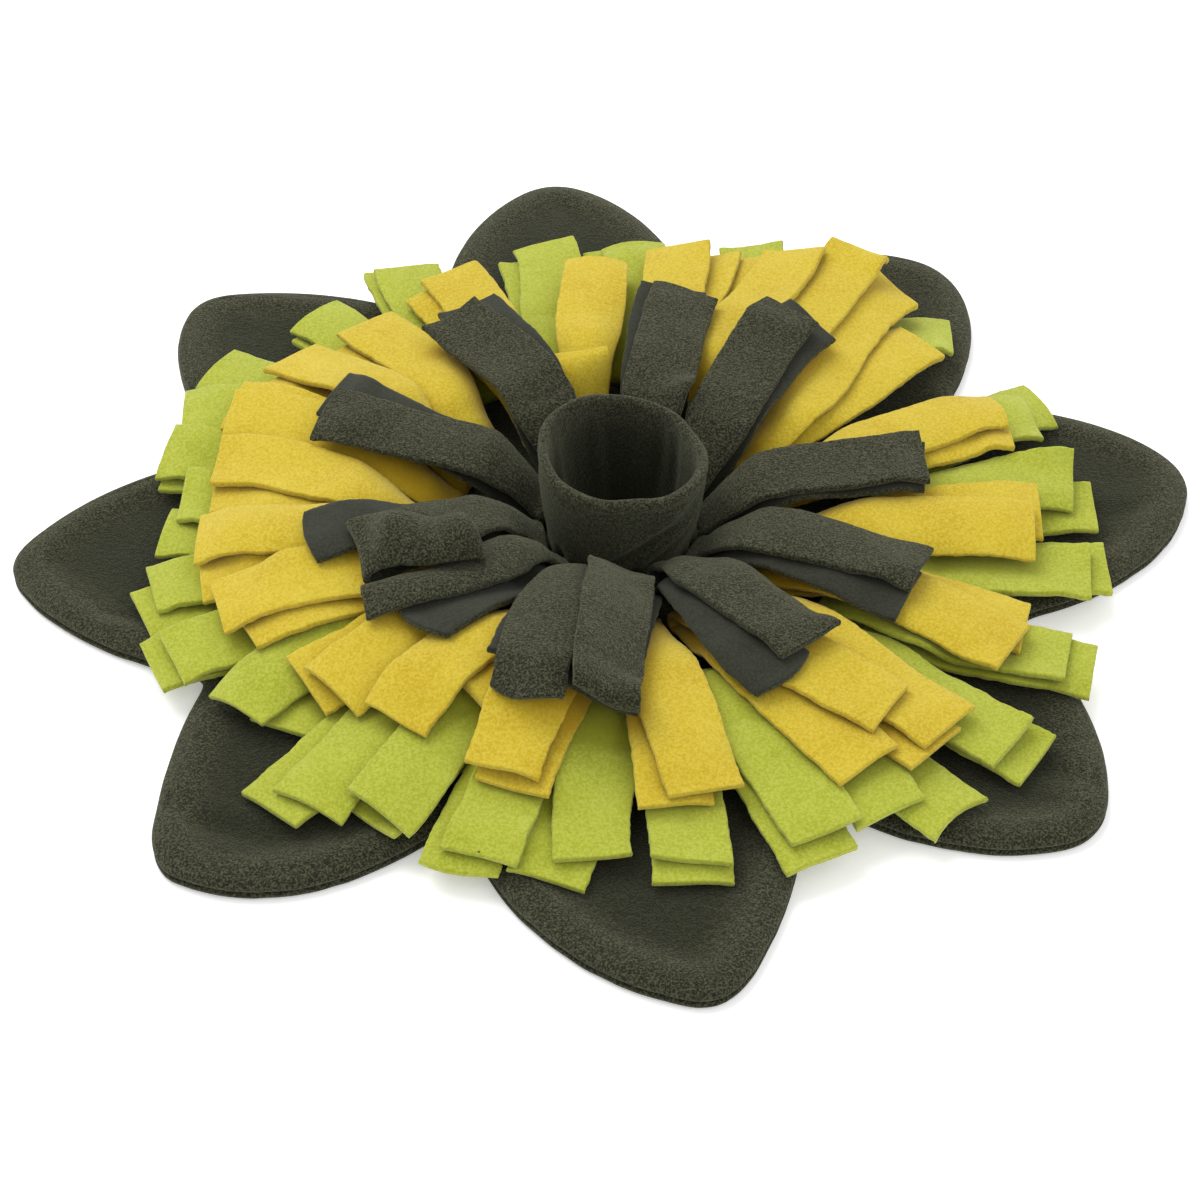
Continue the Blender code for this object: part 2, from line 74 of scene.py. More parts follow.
RINGS = {
    #        cx   cy   root_r root_w spread fold under over crest_at
    "lime": (0.0, 0.0, 98.0, 17.0, 34.0, 4.6, 13.5, 17.5, 0.36),
    "sun": (0.0, 0.0, 64.0, 14.5, 50.0, 4.6, 20.0, 24.5, 0.36),
    "grey": (5.0, -4.0, 35.0, 13.0, 44.0, 4.6, 29.0, 33.5, 0.36),
}
RING_ORDER = ("lime", "sun", "grey")

STRIPS = (
    # name     root | under: az reach turn end roll | over: az reach turn end roll
    ("lime_01", 359, (3, 195, 2, 12, 0), (5.4, 187, -10, 18, 0)),
    ("lime_02", 17, (23, 197, 0, 14, 0), (19.2, 184.9, -5, 17, 3)),
    ("lime_03", 41, (42, 184, -40, 14, -4), (39.1, 189.5, -45, 17, -5)),
    ("lime_04", 67, (73, 186, 12, 15, -2), (70.3, 189.8, 22, 20, -6)),
    ("lime_05", 84, (89, 184, 6, 15, 0), (86.4, 183.6, 12, 19, -4)),
    ("lime_06", 102, (101, 183, 4, 14, 0), (98.6, 188, 8, 18, -3)),
    ("lime_07", 120, (119, 193, -19, 15, 0), (118, 189, -19, 18, 0)),
    ("lime_08", 134, (134, 182, 0, 13, 0), (133.2, 185, 4, 17, 0)),
    ("lime_09", 148, (151, 187, 0, 13, 0), (149.6, 192, 3, 17, 0)),
    ("lime_10", 161, (160.4, 183.2, 16, 13, 0), (159.3, 187.4, 20, 17, 0)),
    ("lime_11", 173.5, (168.7, 181, 0, 12, 0), (167.9, 183.7, 3, 15, -3)),
    ("lime_12", 187, (182, 176, -4, 14, 0), (176.8, 169.7, -6, 18, 0)),
    ("lime_13", 200, (196.4, 187, 8, 13, 0), (193.4, 181, -3, 17, 0)),
    ("lime_14", 212, (205.5, 190.4, 0, 12, 0), (206.6, 183.3, 5, 16, 0)),
    ("lime_15", 223.5, (224.3, 166, 18, 12, 0), (218.2, 175, 6, 15, 0)),
    ("lime_16", 235, (231.9, 197, -5, 11, 0), (235.7, 190, -2, 15, 0)),
    ("lime_17", 247, (242, 183, -12, 12, 0), (243.7, 182.8, -12, 16, 0)),
    ("lime_18", 258.5, (254.1, 192, 4, 11, 0), (256, 187.4, -5, 15, 0)),
    ("lime_19", 270, (263.4, 189.4, -14, 11, -4), (268, 182.1, 8, 15, 0)),
    ("lime_20", 281, (278.9, 192, -8, 11, 0), (279, 186, -6, 15, 0)),
    ("lime_21", 292, (292.3, 196, 0, 13, 0), (293.8, 188.8, -2, 17, 0)),
    ("lime_22", 304, (307.8, 203, 8, 13, 0), (301.7, 190, -8, 16, 0)),
    ("lime_23", 317, (319.8, 204, 8, 13, 0), (318.8, 195, 2, 18, 0)),
    ("lime_24", 330, (334.8, 201, 7, 13, 0), (334.4, 191, 7, 17, 0)),
    ("lime_25", 344, (352.2, 197, 6, 13, 0), (349.9, 190, 6, 17, 0)),

    ("sun_01", 14, (14.8, 168, -8, 21, -2), (18.3, 167, -5, 26, -3)),
    ("sun_02", 30, (37.9, 168, 0, 26, 0), (47.7, 186, -8, 29, 0)),
    ("sun_03", 46, (59.8, 183.2, 8, 28, -12), (54.2, 185.3, 4, 32, 0)),
    ("sun_04", 62, (67, 174, 6, 27, -8), (62.2, 173.5, 8, 32, -12)),
    ("sun_05", 78, (74.7, 169, 8, 27, -4), (79.3, 168, 10, 32, -6)),
    ("sun_06", 97, (91.6, 155, -5, 31, 0), (99.3, 82, -2, 38, 0)),
    ("sun_07", 116, (118, 160, 4, 25, 0), (114.9, 164, 9, 28, 0)),
    ("sun_08", 139, (134.5, 152, -4, 23, 0), (131.8, 155, -6, 26, 0)),
    ("sun_09", 155.5, (149.3, 156.1, -4, 22, 0), (146.1, 159.6, -5, 24, 0)),
    ("sun_10", 171.5, (159.6, 163.5, 6, 22, 0), (163.2, 160.5, 6, 24, 0)),
    ("sun_11", 187.5, (178.5, 156.1, 2, 21, 0), (173.6, 156.6, 0, 25, 0)),
    ("sun_12", 203, (195.3, 162, -8, 22, 0), (189.1, 160.9, -4, 25, 0)),
    ("sun_13", 218.5, (208.6, 155.4, -8, 19, 0), (203.9, 160.9, -6, 22, 0)),
    ("sun_14", 233.5, (223.3, 152.5, -12, 21, 0), (227.8, 150.3, -7, 24, 0)),
    ("sun_15", 248.5, (245.5, 124, -25, 23, 0), (238.8, 148.5, 1, 26, 0)),
    ("sun_16", 264, (257.8, 160.8, -3, 22, 0), (256.1, 157.9, 0, 25, 0)),
    ("sun_17", 281, (278.3, 164.2, -4, 21, 0), (282.1, 162.6, 6, 24, 0)),
    ("sun_18", 299, (302.5, 172.6, 4, 22, 0), (309.9, 158.7, 12, 26, 5)),
    ("sun_19", 315.5, (311, 179.3, 4, 20, 0), (314.1, 177, 6, 24, 0)),
    ("sun_20", 331.5, (336, 172, 2, 21, 0), (330.6, 173, 0, 24, 0)),
    ("sun_21", 347.5, (358.1, 170, -2, 22, 0), (352.8, 166.9, 0, 24, 0)),

    ("grey_01", 6, (4.3, 125, -2, 34, 0), (4.9, 125, 0, 37, 0)),
    ("grey_02", 41, (48.5, 128.4, -4, 38, 0), (50.9, 121.4, -5, 42, 0)),
    ("grey_03", 74, (77.3, 124.5, -3, 38, 8), (74, 120, 0, 42, 8)),
    ("grey_04", 123, (117.2, 129, 1, 37, 0), (122.8, 120.7, 6, 40, -6)),
    ("grey_05", 158, (155.6, 121.7, -5, 35, 0), (162.9, 117.5, -6, 38, 0)),
    ("grey_06", 191, (200.6, 121.3, -4, 33, 0), (210.0, 107, -8, 37, 0)),
    ("grey_07", 220, (231.7, 112.9, -6, 29, 0), (218.8, 116.7, -30, 34, 7)),
    ("grey_08", 246.5, (255, 118, 0, 28, 0), (257.2, 134.9, -2, 31, 0)),
    ("grey_09", 273, (268.1, 127.6, -2, 27, 0), (270.6, 130.9, -1, 31, 0)),
    ("grey_10", 303, (300, 128.5, 15, 28, 0), (306.8, 123.3, 0, 34, 0)),
    ("grey_11", 334, (329.9, 130, 4, 32, 0), (335.4, 130, 3, 36, -5)),
)

TURNED_BACK = {
    "grey_06": ("over", 1, 221.5, 75, 165, 41, 5.0),
    "sun_15": ("under", 1, 256.0, 98, 140, 26, 5.0),
}
LOOPED = {"lime_12": (106.0, 15.0)}
SHORT = {"sun_06": (14.0, 0.9)}
# how a strip is gathered where the cloth differs from its ring: width at the
# fold, length over which it opens
GATHERED = {
    "grey_01": (17.0, 24.0), "grey_02": (18.0, 24.0), "grey_03": (18.0, 24.0),
    "grey_04": (18.0, 26.0), "grey_05": (16.5, 28.0), "grey_06": (14.0, 34.0),
    "grey_07": (13.0, 36.0), "grey_08": (9.0, 62.0), "grey_09": (12.0, 15.0),
    "grey_10": (13.0, 22.0), "grey_11": (16.0, 24.0),
}
LAID_LATE = ("lime_21", "sun_06", "sun_18", "grey_06")

# what a tail's end does, where given: which tail, how far its clockwise and its
# anticlockwise corners curl up, over what length, and how its cut end bows
TIPS = {
    # (name, tail): curl_cw curl_ccw length bow
    ("grey_10", "over"): (-1.0, 8.0, 17.0, 0.0),
    ("grey_11", "over"): (-4.0, 4.0, 20.0, 0.0),
    ("grey_01", "over"): (-2.0, 3.0, 16.0, 0.0),
    ("grey_02", "over"): (4.0, 0.0, 16.0, 0.0),
    ("grey_04", "over"): (0.0, 4.0, 22.0, -1.0),
    ("grey_05", "over"): (3.0, -1.0, 22.0, 0.0),
    ("grey_08", "over"): (4.0, -3.0, 20.0, 3.5),
    ("grey_09", "over"): (-1.0, 4.0, 18.0, 0.0),
    ("grey_07", "over"): (-7.0, 1.0, 44.0, 0.0),
    ("grey_06", "back"): (-3.0, -7.0, 17.0, 1.0),
    ("grey_10", "under"): (0.0, -2.0, 18.0, 4.0),
    ("lime_18", "under"): (1.5, -1.0, 18.0, 2.0),
    ("lime_22", "under"): (-1.0, 0.0, 18.0, -2.5),
    ("lime_02", "over"): (4.0, -3.0, 30.0, 0.0),
    ("lime_01", "over"): (-3.0, 9.0, 42.0, 0.0),
    ("sun_01", "over"): (-3.0, -2.0, 22.0, 1.5),
    ("sun_06", "under"): (-1.0, -1.0, 10.0, 1.5),
    ("grey_07", "under"): (2.0, -2.0, 26.0, 4.5),
    ("grey_06", "under"): (2.0, -4.0, 20.0, 2.5),
}

# a tail whose end narrows because one edge rolls in: share of the width left,
# length over which it narrows, which edge stays (+1 anticlockwise)
NARROWED = {
    ("grey_07", "over"): (0.60, 62.0, 1),
    ("grey_05", "over"): (0.90, 30.0, 1),
    ("grey_06", "back"): (0.92, 200.0, -1),
    ("grey_09", "over"): (0.86, 300.0, -1),
    ("sun_01", "over"): (0.88, 20.0, -1),
}
# a tail that arches off what it lies on: height at mid length, camber across
ARCHED = {
    ("grey_06", "back"): (0.5, 9.5),
    ("lime_02", "over"): (6.0, 1.0),
    ("lime_01", "over"): (5.0, 0.0),
    ("sun_09", "over"): (2.5, 1.0),
    ("sun_08", "over"): (3.0, 1.0),
    ("sun_12", "over"): (1.5, 1.0),
    ("grey_05", "over"): (2.0, 1.0),
    ("grey_07", "over"): (3.0, 3.5),
    ("lime_15", "over"): (2.0, 1.5),
}
# a tail whose end is rolled under: radius at the clockwise and at the
# anticlockwise edge, angle of the roll
ROLLED = {
    ("grey_09", "over"): (2.3, 4.2, 235.0),
    ("grey_06", "back"): (3.2, 3.8, 150.0),
    ("sun_03", "over"): (1.8, 1.6, 90.0),
}

# how far the middle of a strip's tails swings out of its line, + anticlockwise
SWAY = {
    "grey_07": 4.5, "grey_05": 2.0, "grey_04": -2.0, "grey_10": -1.5, "grey_11": 2.0,
    "sun_01": -3.0, "sun_08": -4.5, "sun_09": -4.5, "sun_10": -3.0, "sun_12": 2.5,
    "sun_18": -3.0, "sun_20": 2.0, "lime_02": -3.0, "lime_13": -3.5, "lime_15": -5.0,
    "lime_17": -2.5, "lime_23": 2.0, "lime_24": -2.5,
}


# ------------------------------------------------------------ small helpers
def toward(az):
    a = math.radians(az)
    return np.array([math.cos(a), math.sin(a)])


def polar(az, r):
    return toward(az) * r


def ease(t):
    t = np.clip(t, 0.0, 1.0)
    return t * t * (3.0 - 2.0 * t)


def lattice(m):
    return np.array([(i, j, m - i - j) for i in range(m + 1)
                     for j in range(m + 1 - i)], float) / m


def steepness(xy, z):
    a = np.concatenate([xy[:, 1] - xy[:, 0], (z[:, 1] - z[:, 0])[:, None]], 1)
    b = np.concatenate([xy[:, 2] - xy[:, 0], (z[:, 2] - z[:, 0])[:, None]], 1)
    n = np.cross(a, b)
    flat = np.maximum(np.abs(n[:, 2]), 1e-9)
    return np.minimum(np.linalg.norm(n, axis=1) / flat, 3.0)


def smooth_noise(x, seed):
    """A slow random wave of about one step a unit, from -1 to 1."""
    r = np.random.RandomState(seed)
    n = int(np.max(x)) + 4
    knots = r.uniform(-1, 1, n + 3)
    i = np.floor(x).astype(int)
    f = x - i
    a, b, c, d = knots[i], knots[i + 1], knots[i + 2], knots[i + 3]
    return ((-a + 3 * b - 3 * c + d) * f ** 3 / 6 + (3 * a - 6 * b + 3 * c)
            * f ** 2 / 6 + (-3 * a + 3 * c) * f / 6 + (a + 4 * b + c) / 6)


# ------------------------------------------------------------ the pile
class Pile:
    cell = 1.0
    half = 270.0

    def __init__(self):
        n = int(2 * self.half / self.cell)
        self.n = n
        self.top = np.full((n, n), -50.0)

    def at(self, x, y):
        i = np.clip(((x + self.half) / self.cell).astype(int), 1, self.n - 2)
        j = np.clip(((y + self.half) / self.cell).astype(int), 1, self.n - 2)
        return i, j

    def look(self, x, y):
        i, j = self.at(x, y)
        return self.top[i, j]

    def look_round(self, x, y):
        i, j = self.at(x, y)
        h = self.top[i, j]
        for di in (-1, 0, 1):
            for dj in (-1, 0, 1):
                h = np.maximum(h, self.top[i + di, j + dj])
        return h

    def mark(self, p, h):
        i, j = self.at(p[:, 0], p[:, 1])
        for di, dj in ((0, 0), (1, 0), (-1, 0), (0, 1), (0, -1)):
            np.maximum.at(self.top, (i + di, j + dj), h)

    def add(self, xy, z, tri, half_thick, m=30):
        w = lattice(m)
        txy, tz = xy[tri], z[tri]
        up = half_thick * steepness(txy, tz)
        p = np.einsum("km,tmc->tkc", w, txy).reshape(-1, 2)
        h = (np.einsum("km,tm->tk", w, tz) + up[:, None]).ravel()
        self.mark(p, h)

    def add_grid(self, xy, z, half_thick):
        """A fine grid of rows and columns, each cell sampled 4 by 5."""
        dz_u = np.gradient(z, axis=0)
        du = np.linalg.norm(np.gradient(xy, axis=0), axis=2)
        lean = np.sqrt(1.0 + (dz_u / np.maximum(du, 0.2)) ** 2)
        top = z + half_thick * np.minimum(lean, 2.5)
        for a in np.linspace(0, 1, 4, endpoint=False):
            for b in np.linspace(0, 1, 5, endpoint=False):
                w = ((1 - a) * (1 - b), a * (1 - b), (1 - a) * b, a * b)
                p = (w[0] * xy[:-1, :-1] + w[1] * xy[1:, :-1]
                     + w[2] * xy[:-1, 1:] + w[3] * xy[1:, 1:])
                h = (w[0] * top[:-1, :-1] + w[1] * top[1:, :-1]
                     + w[2] * top[:-1, 1:] + w[3] * top[1:, 1:])
                self.mark(p.reshape(-1, 2), h.ravel())
        for row in (0, -1):
            self.mark(xy[row], top[row])
        self.mark(xy[:, -1], top[:, -1])


def ladder(steps):
    out = []
    for i in range(steps):
        a, b, c, d = 2 * i, 2 * i + 1, 2 * i + 3, 2 * i + 2
        out += [(a, b, c), (a, c, d)]
    return np.array(out)


def settle(pile, xy, z, tri, held):
    w = lattice(10)
    txy = xy[tri]
    p = np.einsum("km,tmc->tkc", w, txy)
    floor = pile.look(p[..., 0], p[..., 1])
    free = np.where(held, 0.0, 1.0)[tri]
    share = w[None] * free[:, None, :]
    room = (share ** 2).sum(2)
    counts = room > 0.20
    share = share / np.maximum(room, 0.30)[:, :, None]
    z = z.copy()
    for _ in range(80):
        tz = z[tri]
        lean = np.minimum(steepness(txy, tz), MOST_LEAN)[:, None]
        need = (floor + AIR + 0.5 * CLOTH * lean
                - np.einsum("km,tm->tk", w, tz))
        need = np.where(counts, np.clip(need, 0.0, None), 0.0)
        if need.max() < 0.01:
            break
        lift = np.zeros_like(z)
        push = 0.7 * need[:, :, None] * share
        for k in range(3):
            np.maximum.at(lift, tri[:, k], push[:, :, k].max(1))
        z += lift
    return z


# ------------------------------------------------------------ one tail
def path(start, heading, end, end_heading):
    fine = np.linspace(0.0, 1.0, 81)
    chord = np.linalg.norm(end - start)
    m0, m1 = heading * chord * 0.9, end_heading * chord * 0.9
    h = [2 * fine ** 3 - 3 * fine ** 2 + 1, fine ** 3 - 2 * fine ** 2 + fine,
         -2 * fine ** 3 + 3 * fine ** 2, fine ** 3 - fine ** 2]
    line = (h[0][:, None] * start + h[1][:, None] * m0
            + h[2][:, None] * end + h[3][:, None] * m1)
    run = np.concatenate([[0.0], np.cumsum(
        np.linalg.norm(np.diff(line, axis=0), axis=1))])
    return line, run


class Leg:
    """One tail, laid roughly first: rows of two points."""

    def __init__(self, start, heading, end, end_heading, root_w, z0, crest,
                 z1, roll, crest_at, steps, spread=1.0):
        self.line, self.run = path(start, heading, end, end_heading)
        self.length = self.run[-1]
        self.ends = (heading, end_heading)
        self.root_w, self.spread = root_w, spread
        s = self.length * np.linspace(0.0, 1.0, steps + 1) ** ROOTWARD
        self.s = s
        mid, way, side, width = self.plan(s)
        self.steps = steps
        self.xy = np.stack([mid + side * width[:, None] / 2,
                            mid - side * width[:, None] / 2], 1)
        t = s / self.length
        rise = z0 + (crest - z0) * ease(t / crest_at)
        fall = crest + (z1 - crest) * ease((t - crest_at) / (1 - crest_at))
        z = np.where(t < crest_at, rise, fall)
        tilt = roll * t ** 1.5 / 2
        self.z = np.stack([z + tilt, z - tilt], 1)
        self.way = way

    def plan(self, s):
        mid = np.stack([np.interp(s, self.run, self.line[:, 0]),
                        np.interp(s, self.run, self.line[:, 1])], 1)
        way = np.gradient(mid, s, axis=0)
        way[0], way[-1] = self.ends
        way /= np.linalg.norm(way, axis=1)[:, None]
        side = np.stack([-way[:, 1], way[:, 0]], 1)
        width = self.root_w + (STRIP_WIDTH - self.root_w) * ease(s / self.spread)
        return mid, way, side, width

    def lay(self, pile, hold_start=True, stiff=2):
        xy, tri = self.xy.reshape(-1, 2), ladder(self.steps)
        z = self.z.reshape(-1)
        held = np.zeros(len(z), bool)
        if hold_start:
            held[:2] = True
        for k in range(stiff + 1):
            z = settle(pile, xy, z, tri, held)
            if k < stiff:
                g = z.reshape(-1, 2)
                g[1:-1] = np.maximum(
                    g[1:-1], 0.5 * g[1:-1] + 0.25 * (g[:-2] + g[2:]))
                z = g.reshape(-1)
        self.z = z.reshape(-1, 2)
        pile.add(xy, z, tri, CLOTH / 2)


def fold_rows(xy, low, high, inward, steps):
    out_xy, out_z = [], []
    for k in range(1, steps):
        a = math.pi * k / steps
        r = (high - low) / 2
        mid = (high + low) / 2
        out_xy.append(xy + inward[None] * (np.abs(r) * math.sin(a))[:, None])
        out_z.append(mid - r * math.cos(a))
    return out_xy, out_z


# ------------------------------------------------------------ the flower's outline
def outline(az):
    az = az % 360.0
    best = None
    for k, row in enumerate(PETALS):
        tip, tip_r, cw, cw_r, full_cw, _ = row
        nxt = PETALS[(k + 1) % len(PETALS)]
        ccw, ccw_r, full_ccw = nxt[2], nxt[3], row[5]
        d = (az - tip + 180.0) % 360.0 - 180.0
        back = (tip - cw) % 360.0
        ahead = (ccw - tip) % 360.0
        if -back <= d <= 0.0:
            u = (d + back) / back
            best = cw_r + (tip_r - cw_r) * (1 - (1 - u) ** full_cw)
        elif 0.0 <= d <= ahead:
            u = (ahead - d) / ahead
            best = ccw_r + (tip_r - ccw_r) * (1 - (1 - u) ** full_ccw)
    return best


def edge_line(count):
    """The softened outline as points evenly spaced along it, with normals."""
    az = np.arange(0, 360, 0.25)
    offs = np.linspace(-TIP_SOFTEN, TIP_SOFTEN, 9)
    table = np.array([outline(a) for a in az])
    r = np.array([np.interp((a + offs) % 360.0, np.append(az, 360.0),
                            np.append(table, table[0])).mean() for a in az])
    p = np.stack([np.cos(np.radians(az)) * r, np.sin(np.radians(az)) * r], 1)
    p = np.concatenate([p, p[:1]])
    run = np.concatenate([[0], np.cumsum(np.linalg.norm(np.diff(p, axis=0), axis=1))])
    s = np.linspace(0, run[-1], count, endpoint=False)
    q = np.stack([np.interp(s, run, p[:, 0]), np.interp(s, run, p[:, 1])], 1)
    along = np.roll(q, -2, 0) - np.roll(q, 2, 0)
    out = np.stack([along[:, 1], -along[:, 0]], 1)
    out /= np.linalg.norm(out, axis=1)[:, None]
    for _ in range(3):
        out = out + 0.5 * (np.roll(out, 1, 0) + np.roll(out, -1, 0))
        out /= np.linalg.norm(out, axis=1)[:, None]
    return q, out, s


# ------------------------------------------------------------ making objects
def new_object(name, verts, faces, mats, uv=None):
    mesh = bpy.data.meshes.new(name)
    mesh.from_pydata([(float(v[0]) * MM, float(v[1]) * MM, float(v[2]) * MM)
                      for v in verts], [], faces)
    mesh.update()
    mesh.shade_smooth()
    for m in mats:
        mesh.materials.append(m)
    obj = bpy.data.objects.new(name, mesh)
    bpy.context.scene.collection.objects.link(obj)
    return obj


def apply_modifiers(obj):
    dg = bpy.context.evaluated_depsgraph_get()
    mesh = bpy.data.meshes.new_from_object(obj.evaluated_get(dg))
    old = obj.data
    obj.modifiers.clear()
    obj.data = mesh
    mesh.name = obj.name
    bpy.data.meshes.remove(old)
    mesh.shade_smooth()


# ------------------------------------------------------------ materials
def fleece(name, tones, speck, speck_share, low, speck_size, nub_depth, fibre_depth,
           sheen, sheen_tint, lint_tone, deep, rough=0.95):
    """Brushed fleece: slow patches of tone, tufts with paler tips and darker
    pits between them, a soft bloom of fibres, and painted shade where the
    mesh's mask says so.  Lengths in millimetres."""
    mat = bpy.data.materials.new(name)
    mat.use_nodes = True
    nt = mat.node_tree
    n, link = nt.nodes, nt.links.new
    shader = n["Principled BSDF"]
    shader.inputs["Roughness"].default_value = rough
    shader.inputs["Metallic"].default_value = 0.0
    shader.inputs["Specular IOR Level"].default_value = 0.12
    shader.inputs["Sheen Weight"].default_value = sheen
    shader.inputs["Sheen Roughness"].default_value = 0.55
    shader.inputs["Sheen Tint"].default_value = sheen_tint
    at = n.new("ShaderNodeTexCoord")

    def noise_node(size_mm, detail, roughness, distortion=0.0):
        t = n.new("ShaderNodeTexNoise")
        t.inputs["Scale"].default_value = 1000.0 / size_mm
        t.inputs["Detail"].default_value = detail
        t.inputs["Roughness"].default_value = roughness
        t.inputs["Distortion"].default_value = distortion
        link(at.outputs["Object"], t.inputs["Vector"])
        return t

    def ramp(source, stops, smooth=True):
        r = n.new("ShaderNodeValToRGB")
        if smooth:
            r.color_ramp.interpolation = "EASE"
        while len(r.color_ramp.elements) < len(stops):
            r.color_ramp.elements.new(0.5)
        for e, (pos, col) in zip(r.color_ramp.elements, stops):
            e.position = pos
            e.color = col if len(col) == 4 else (*col, 1.0)
        link(source, r.inputs["Fac"])
        return r

    def mix(kind, fac, a, b):
        m = n.new("ShaderNodeMix")
        m.data_type = "RGBA"
        m.blend_type = kind
        if isinstance(fac, float):
            m.inputs["Factor"].default_value = fac
        else:
            link(fac, m.inputs["Factor"])
        for sock, val in (("A", a), ("B", b)):
            target = [s for s in m.inputs if s.name == sock and s.type == "RGBA"][0]
            if isinstance(val, tuple):
                target.default_value = val if len(val) == 4 else (*val, 1.0)
            else:
                link(val, target)
        return [o for o in m.outputs if o.type == "RGBA"][0]

    dark, mid, light = tones
    patch = noise_node(24.0, 3.0, 0.5)
    tone = ramp(patch.outputs["Fac"], [(0.30, dark), (0.52, mid), (0.74, light)])
    # the nap: tufts about a millimetre across, paler at their tips
    nap = noise_node(speck_size, 3.0, 0.62, 0.25)
    tuft = ramp(nap.outputs["Fac"], [(0.44, (0.0, 0.0, 0.0)), (0.62, (1.0, 1.0, 1.0))])
    pits = ramp(nap.outputs["Fac"], [(0.26, low), (0.50, (1.0, 1.0, 1.0))])
    clump = noise_node(speck_size * 2.6, 2.0, 0.5)
    colour = mix("MULTIPLY", 1.0, tone.outputs["Color"], pits.outputs["Color"])
    lit = mix("MIX", tuft.outputs["Color"], colour, speck)
    colour = mix("MIX", speck_share, colour, lit)
    # painted shade: where the mesh's mask says so, the colour is darker, tinted by deep and with its nap
    # pattern toned down; on the padded top it also stands for pressed nap
    pressed_and_shaded = n.new("ShaderNodeAttribute")
    pressed_and_shaded.attribute_name = "pressed_and_shaded"
    shaded_tone = mix("MULTIPLY", 1.0, tone.outputs["Color"], deep)
    shaded_colour = mix("MIX", 0.25, shaded_tone, colour)
    colour = mix("MIX", pressed_and_shaded.outputs["Fac"], colour, shaded_colour)
    # a few stray fibres of lint
    lint = n.new("ShaderNodeTexVoronoi")
    lint.inputs["Scale"].default_value = 1000.0 / 34.0
    link(at.outputs["Object"], lint.inputs["Vector"])
    dots = ramp(lint.outputs["Distance"], [(0.010, (1.0, 1.0, 1.0)), (0.019, (0.0, 0.0, 0.0))])
    colour = mix("MIX", dots.outputs["Color"], colour, lint_tone)
    link(colour, shader.inputs["Base Color"])

    bump0 = n.new("ShaderNodeBump")
    bump0.inputs["Strength"].default_value = 1.0
    bump0.inputs["Distance"].default_value = nub_depth * 0.8 * MM
    link(clump.outputs["Fac"], bump0.inputs["Height"])
    bump1 = n.new("ShaderNodeBump")
    bump1.inputs["Strength"].default_value = 1.0
    bump1.inputs["Distance"].default_value = nub_depth * MM
    link(nap.outputs["Fac"], bump1.inputs["Height"])
    link(bump0.outputs["Normal"], bump1.inputs["Normal"])
    fibres = noise_node(0.5, 3.0, 0.7)
    bump2 = n.new("ShaderNodeBump")
    bump2.inputs["Strength"].default_value = 1.0
    bump2.inputs["Distance"].default_value = fibre_depth * MM
    link(fibres.outputs["Fac"], bump2.inputs["Height"])
    link(bump1.outputs["Normal"], bump2.inputs["Normal"])
    link(bump2.outputs["Normal"], shader.inputs["Normal"])
    return mat


def srgb(r, g, b):
    return tuple(((c / 255) / 12.92 if c / 255 <= 0.04045
                  else ((c / 255 + 0.055) / 1.055) ** 2.4) for c in (r, g, b))


# the last colour of each fleece is the tint of its painted shade
MATS = {
    "charcoal": fleece(
        "charcoal_fleece", (srgb(24, 25, 14), srgb(28, 29, 17), srgb(33, 34, 21)),
        srgb(98, 98, 76), 0.50, (0.44, 0.44, 0.39), 0.80, 0.70, 0.14,
        0.27, (0.58, 0.60, 0.42, 1.0), srgb(170, 150, 70), (0.60, 0.61, 0.56)),
    "charcoal_back": fleece(
        "charcoal_fleece_back", (srgb(37, 39, 29), srgb(41, 43, 33), srgb(45, 47, 37)),
        srgb(60, 62, 51), 0.35, (0.80, 0.80, 0.80), 1.0, 0.10, 0.08,
        0.25, (0.60, 0.62, 0.56, 1.0), srgb(60, 61, 52), (0.60, 0.61, 0.56)),
    "yellow": fleece(
        "yellow_fleece", (srgb(183, 157, 30), srgb(188, 165, 38), srgb(193, 171, 48)),
        srgb(207, 188, 80), 0.45, (0.88, 0.84, 0.72), 1.15, 0.20, 0.12,
        0.28, (1.0, 0.90, 0.60, 1.0), srgb(70, 64, 30), (0.86, 0.68, 0.36)),
    "lime": fleece(
        "lime_fleece", (srgb(151, 157, 38), srgb(158, 164, 47), srgb(165, 172, 58)),
        srgb(182, 190, 86), 0.45, (0.86, 0.87, 0.74), 1.15, 0.20, 0.12,
        0.28, (0.95, 1.0, 0.70, 1.0), srgb(60, 64, 30), (0.84, 0.80, 0.42)),
}
FACES = {"lime": ("lime", "lime"), "sun": ("yellow", "yellow"),
         "grey": ("charcoal", "charcoal_back")}


# ------------------------------------------------------------ the base
# distance in from the outline and height, from the flat underside up round
# the two rolled layers with the sewn seam between them
EDGE = (
    (3.4, 0.0), (2.2, 0.08), (1.1, 0.45), (0.45, 1.0), (0.15, 1.7), (0.25, 2.3),
    (0.75, 2.75), (1.35, 3.05), (1.6, 3.3), (1.3, 3.6), (0.65, 3.95), (0.15, 4.6),
    (0.0, 5.3), (0.35, 6.2), (1.1, 7.0), (2.2, 7.6), (3.6, 8.0),
)


def pad_height(d):
    """Height of the padded top at a distance in from the outline."""
    return np.interp(d, (3.6, 5.0, 7.0, 9.0, 11.5, 15.0, 20.0, 30.0, 50.0, 90.0, 170.0),
                     (8.0, 8.5, 8.9, 9.0, 8.6, 7.4, 6.6, 6.5, 7.1, 7.8, 8.0))


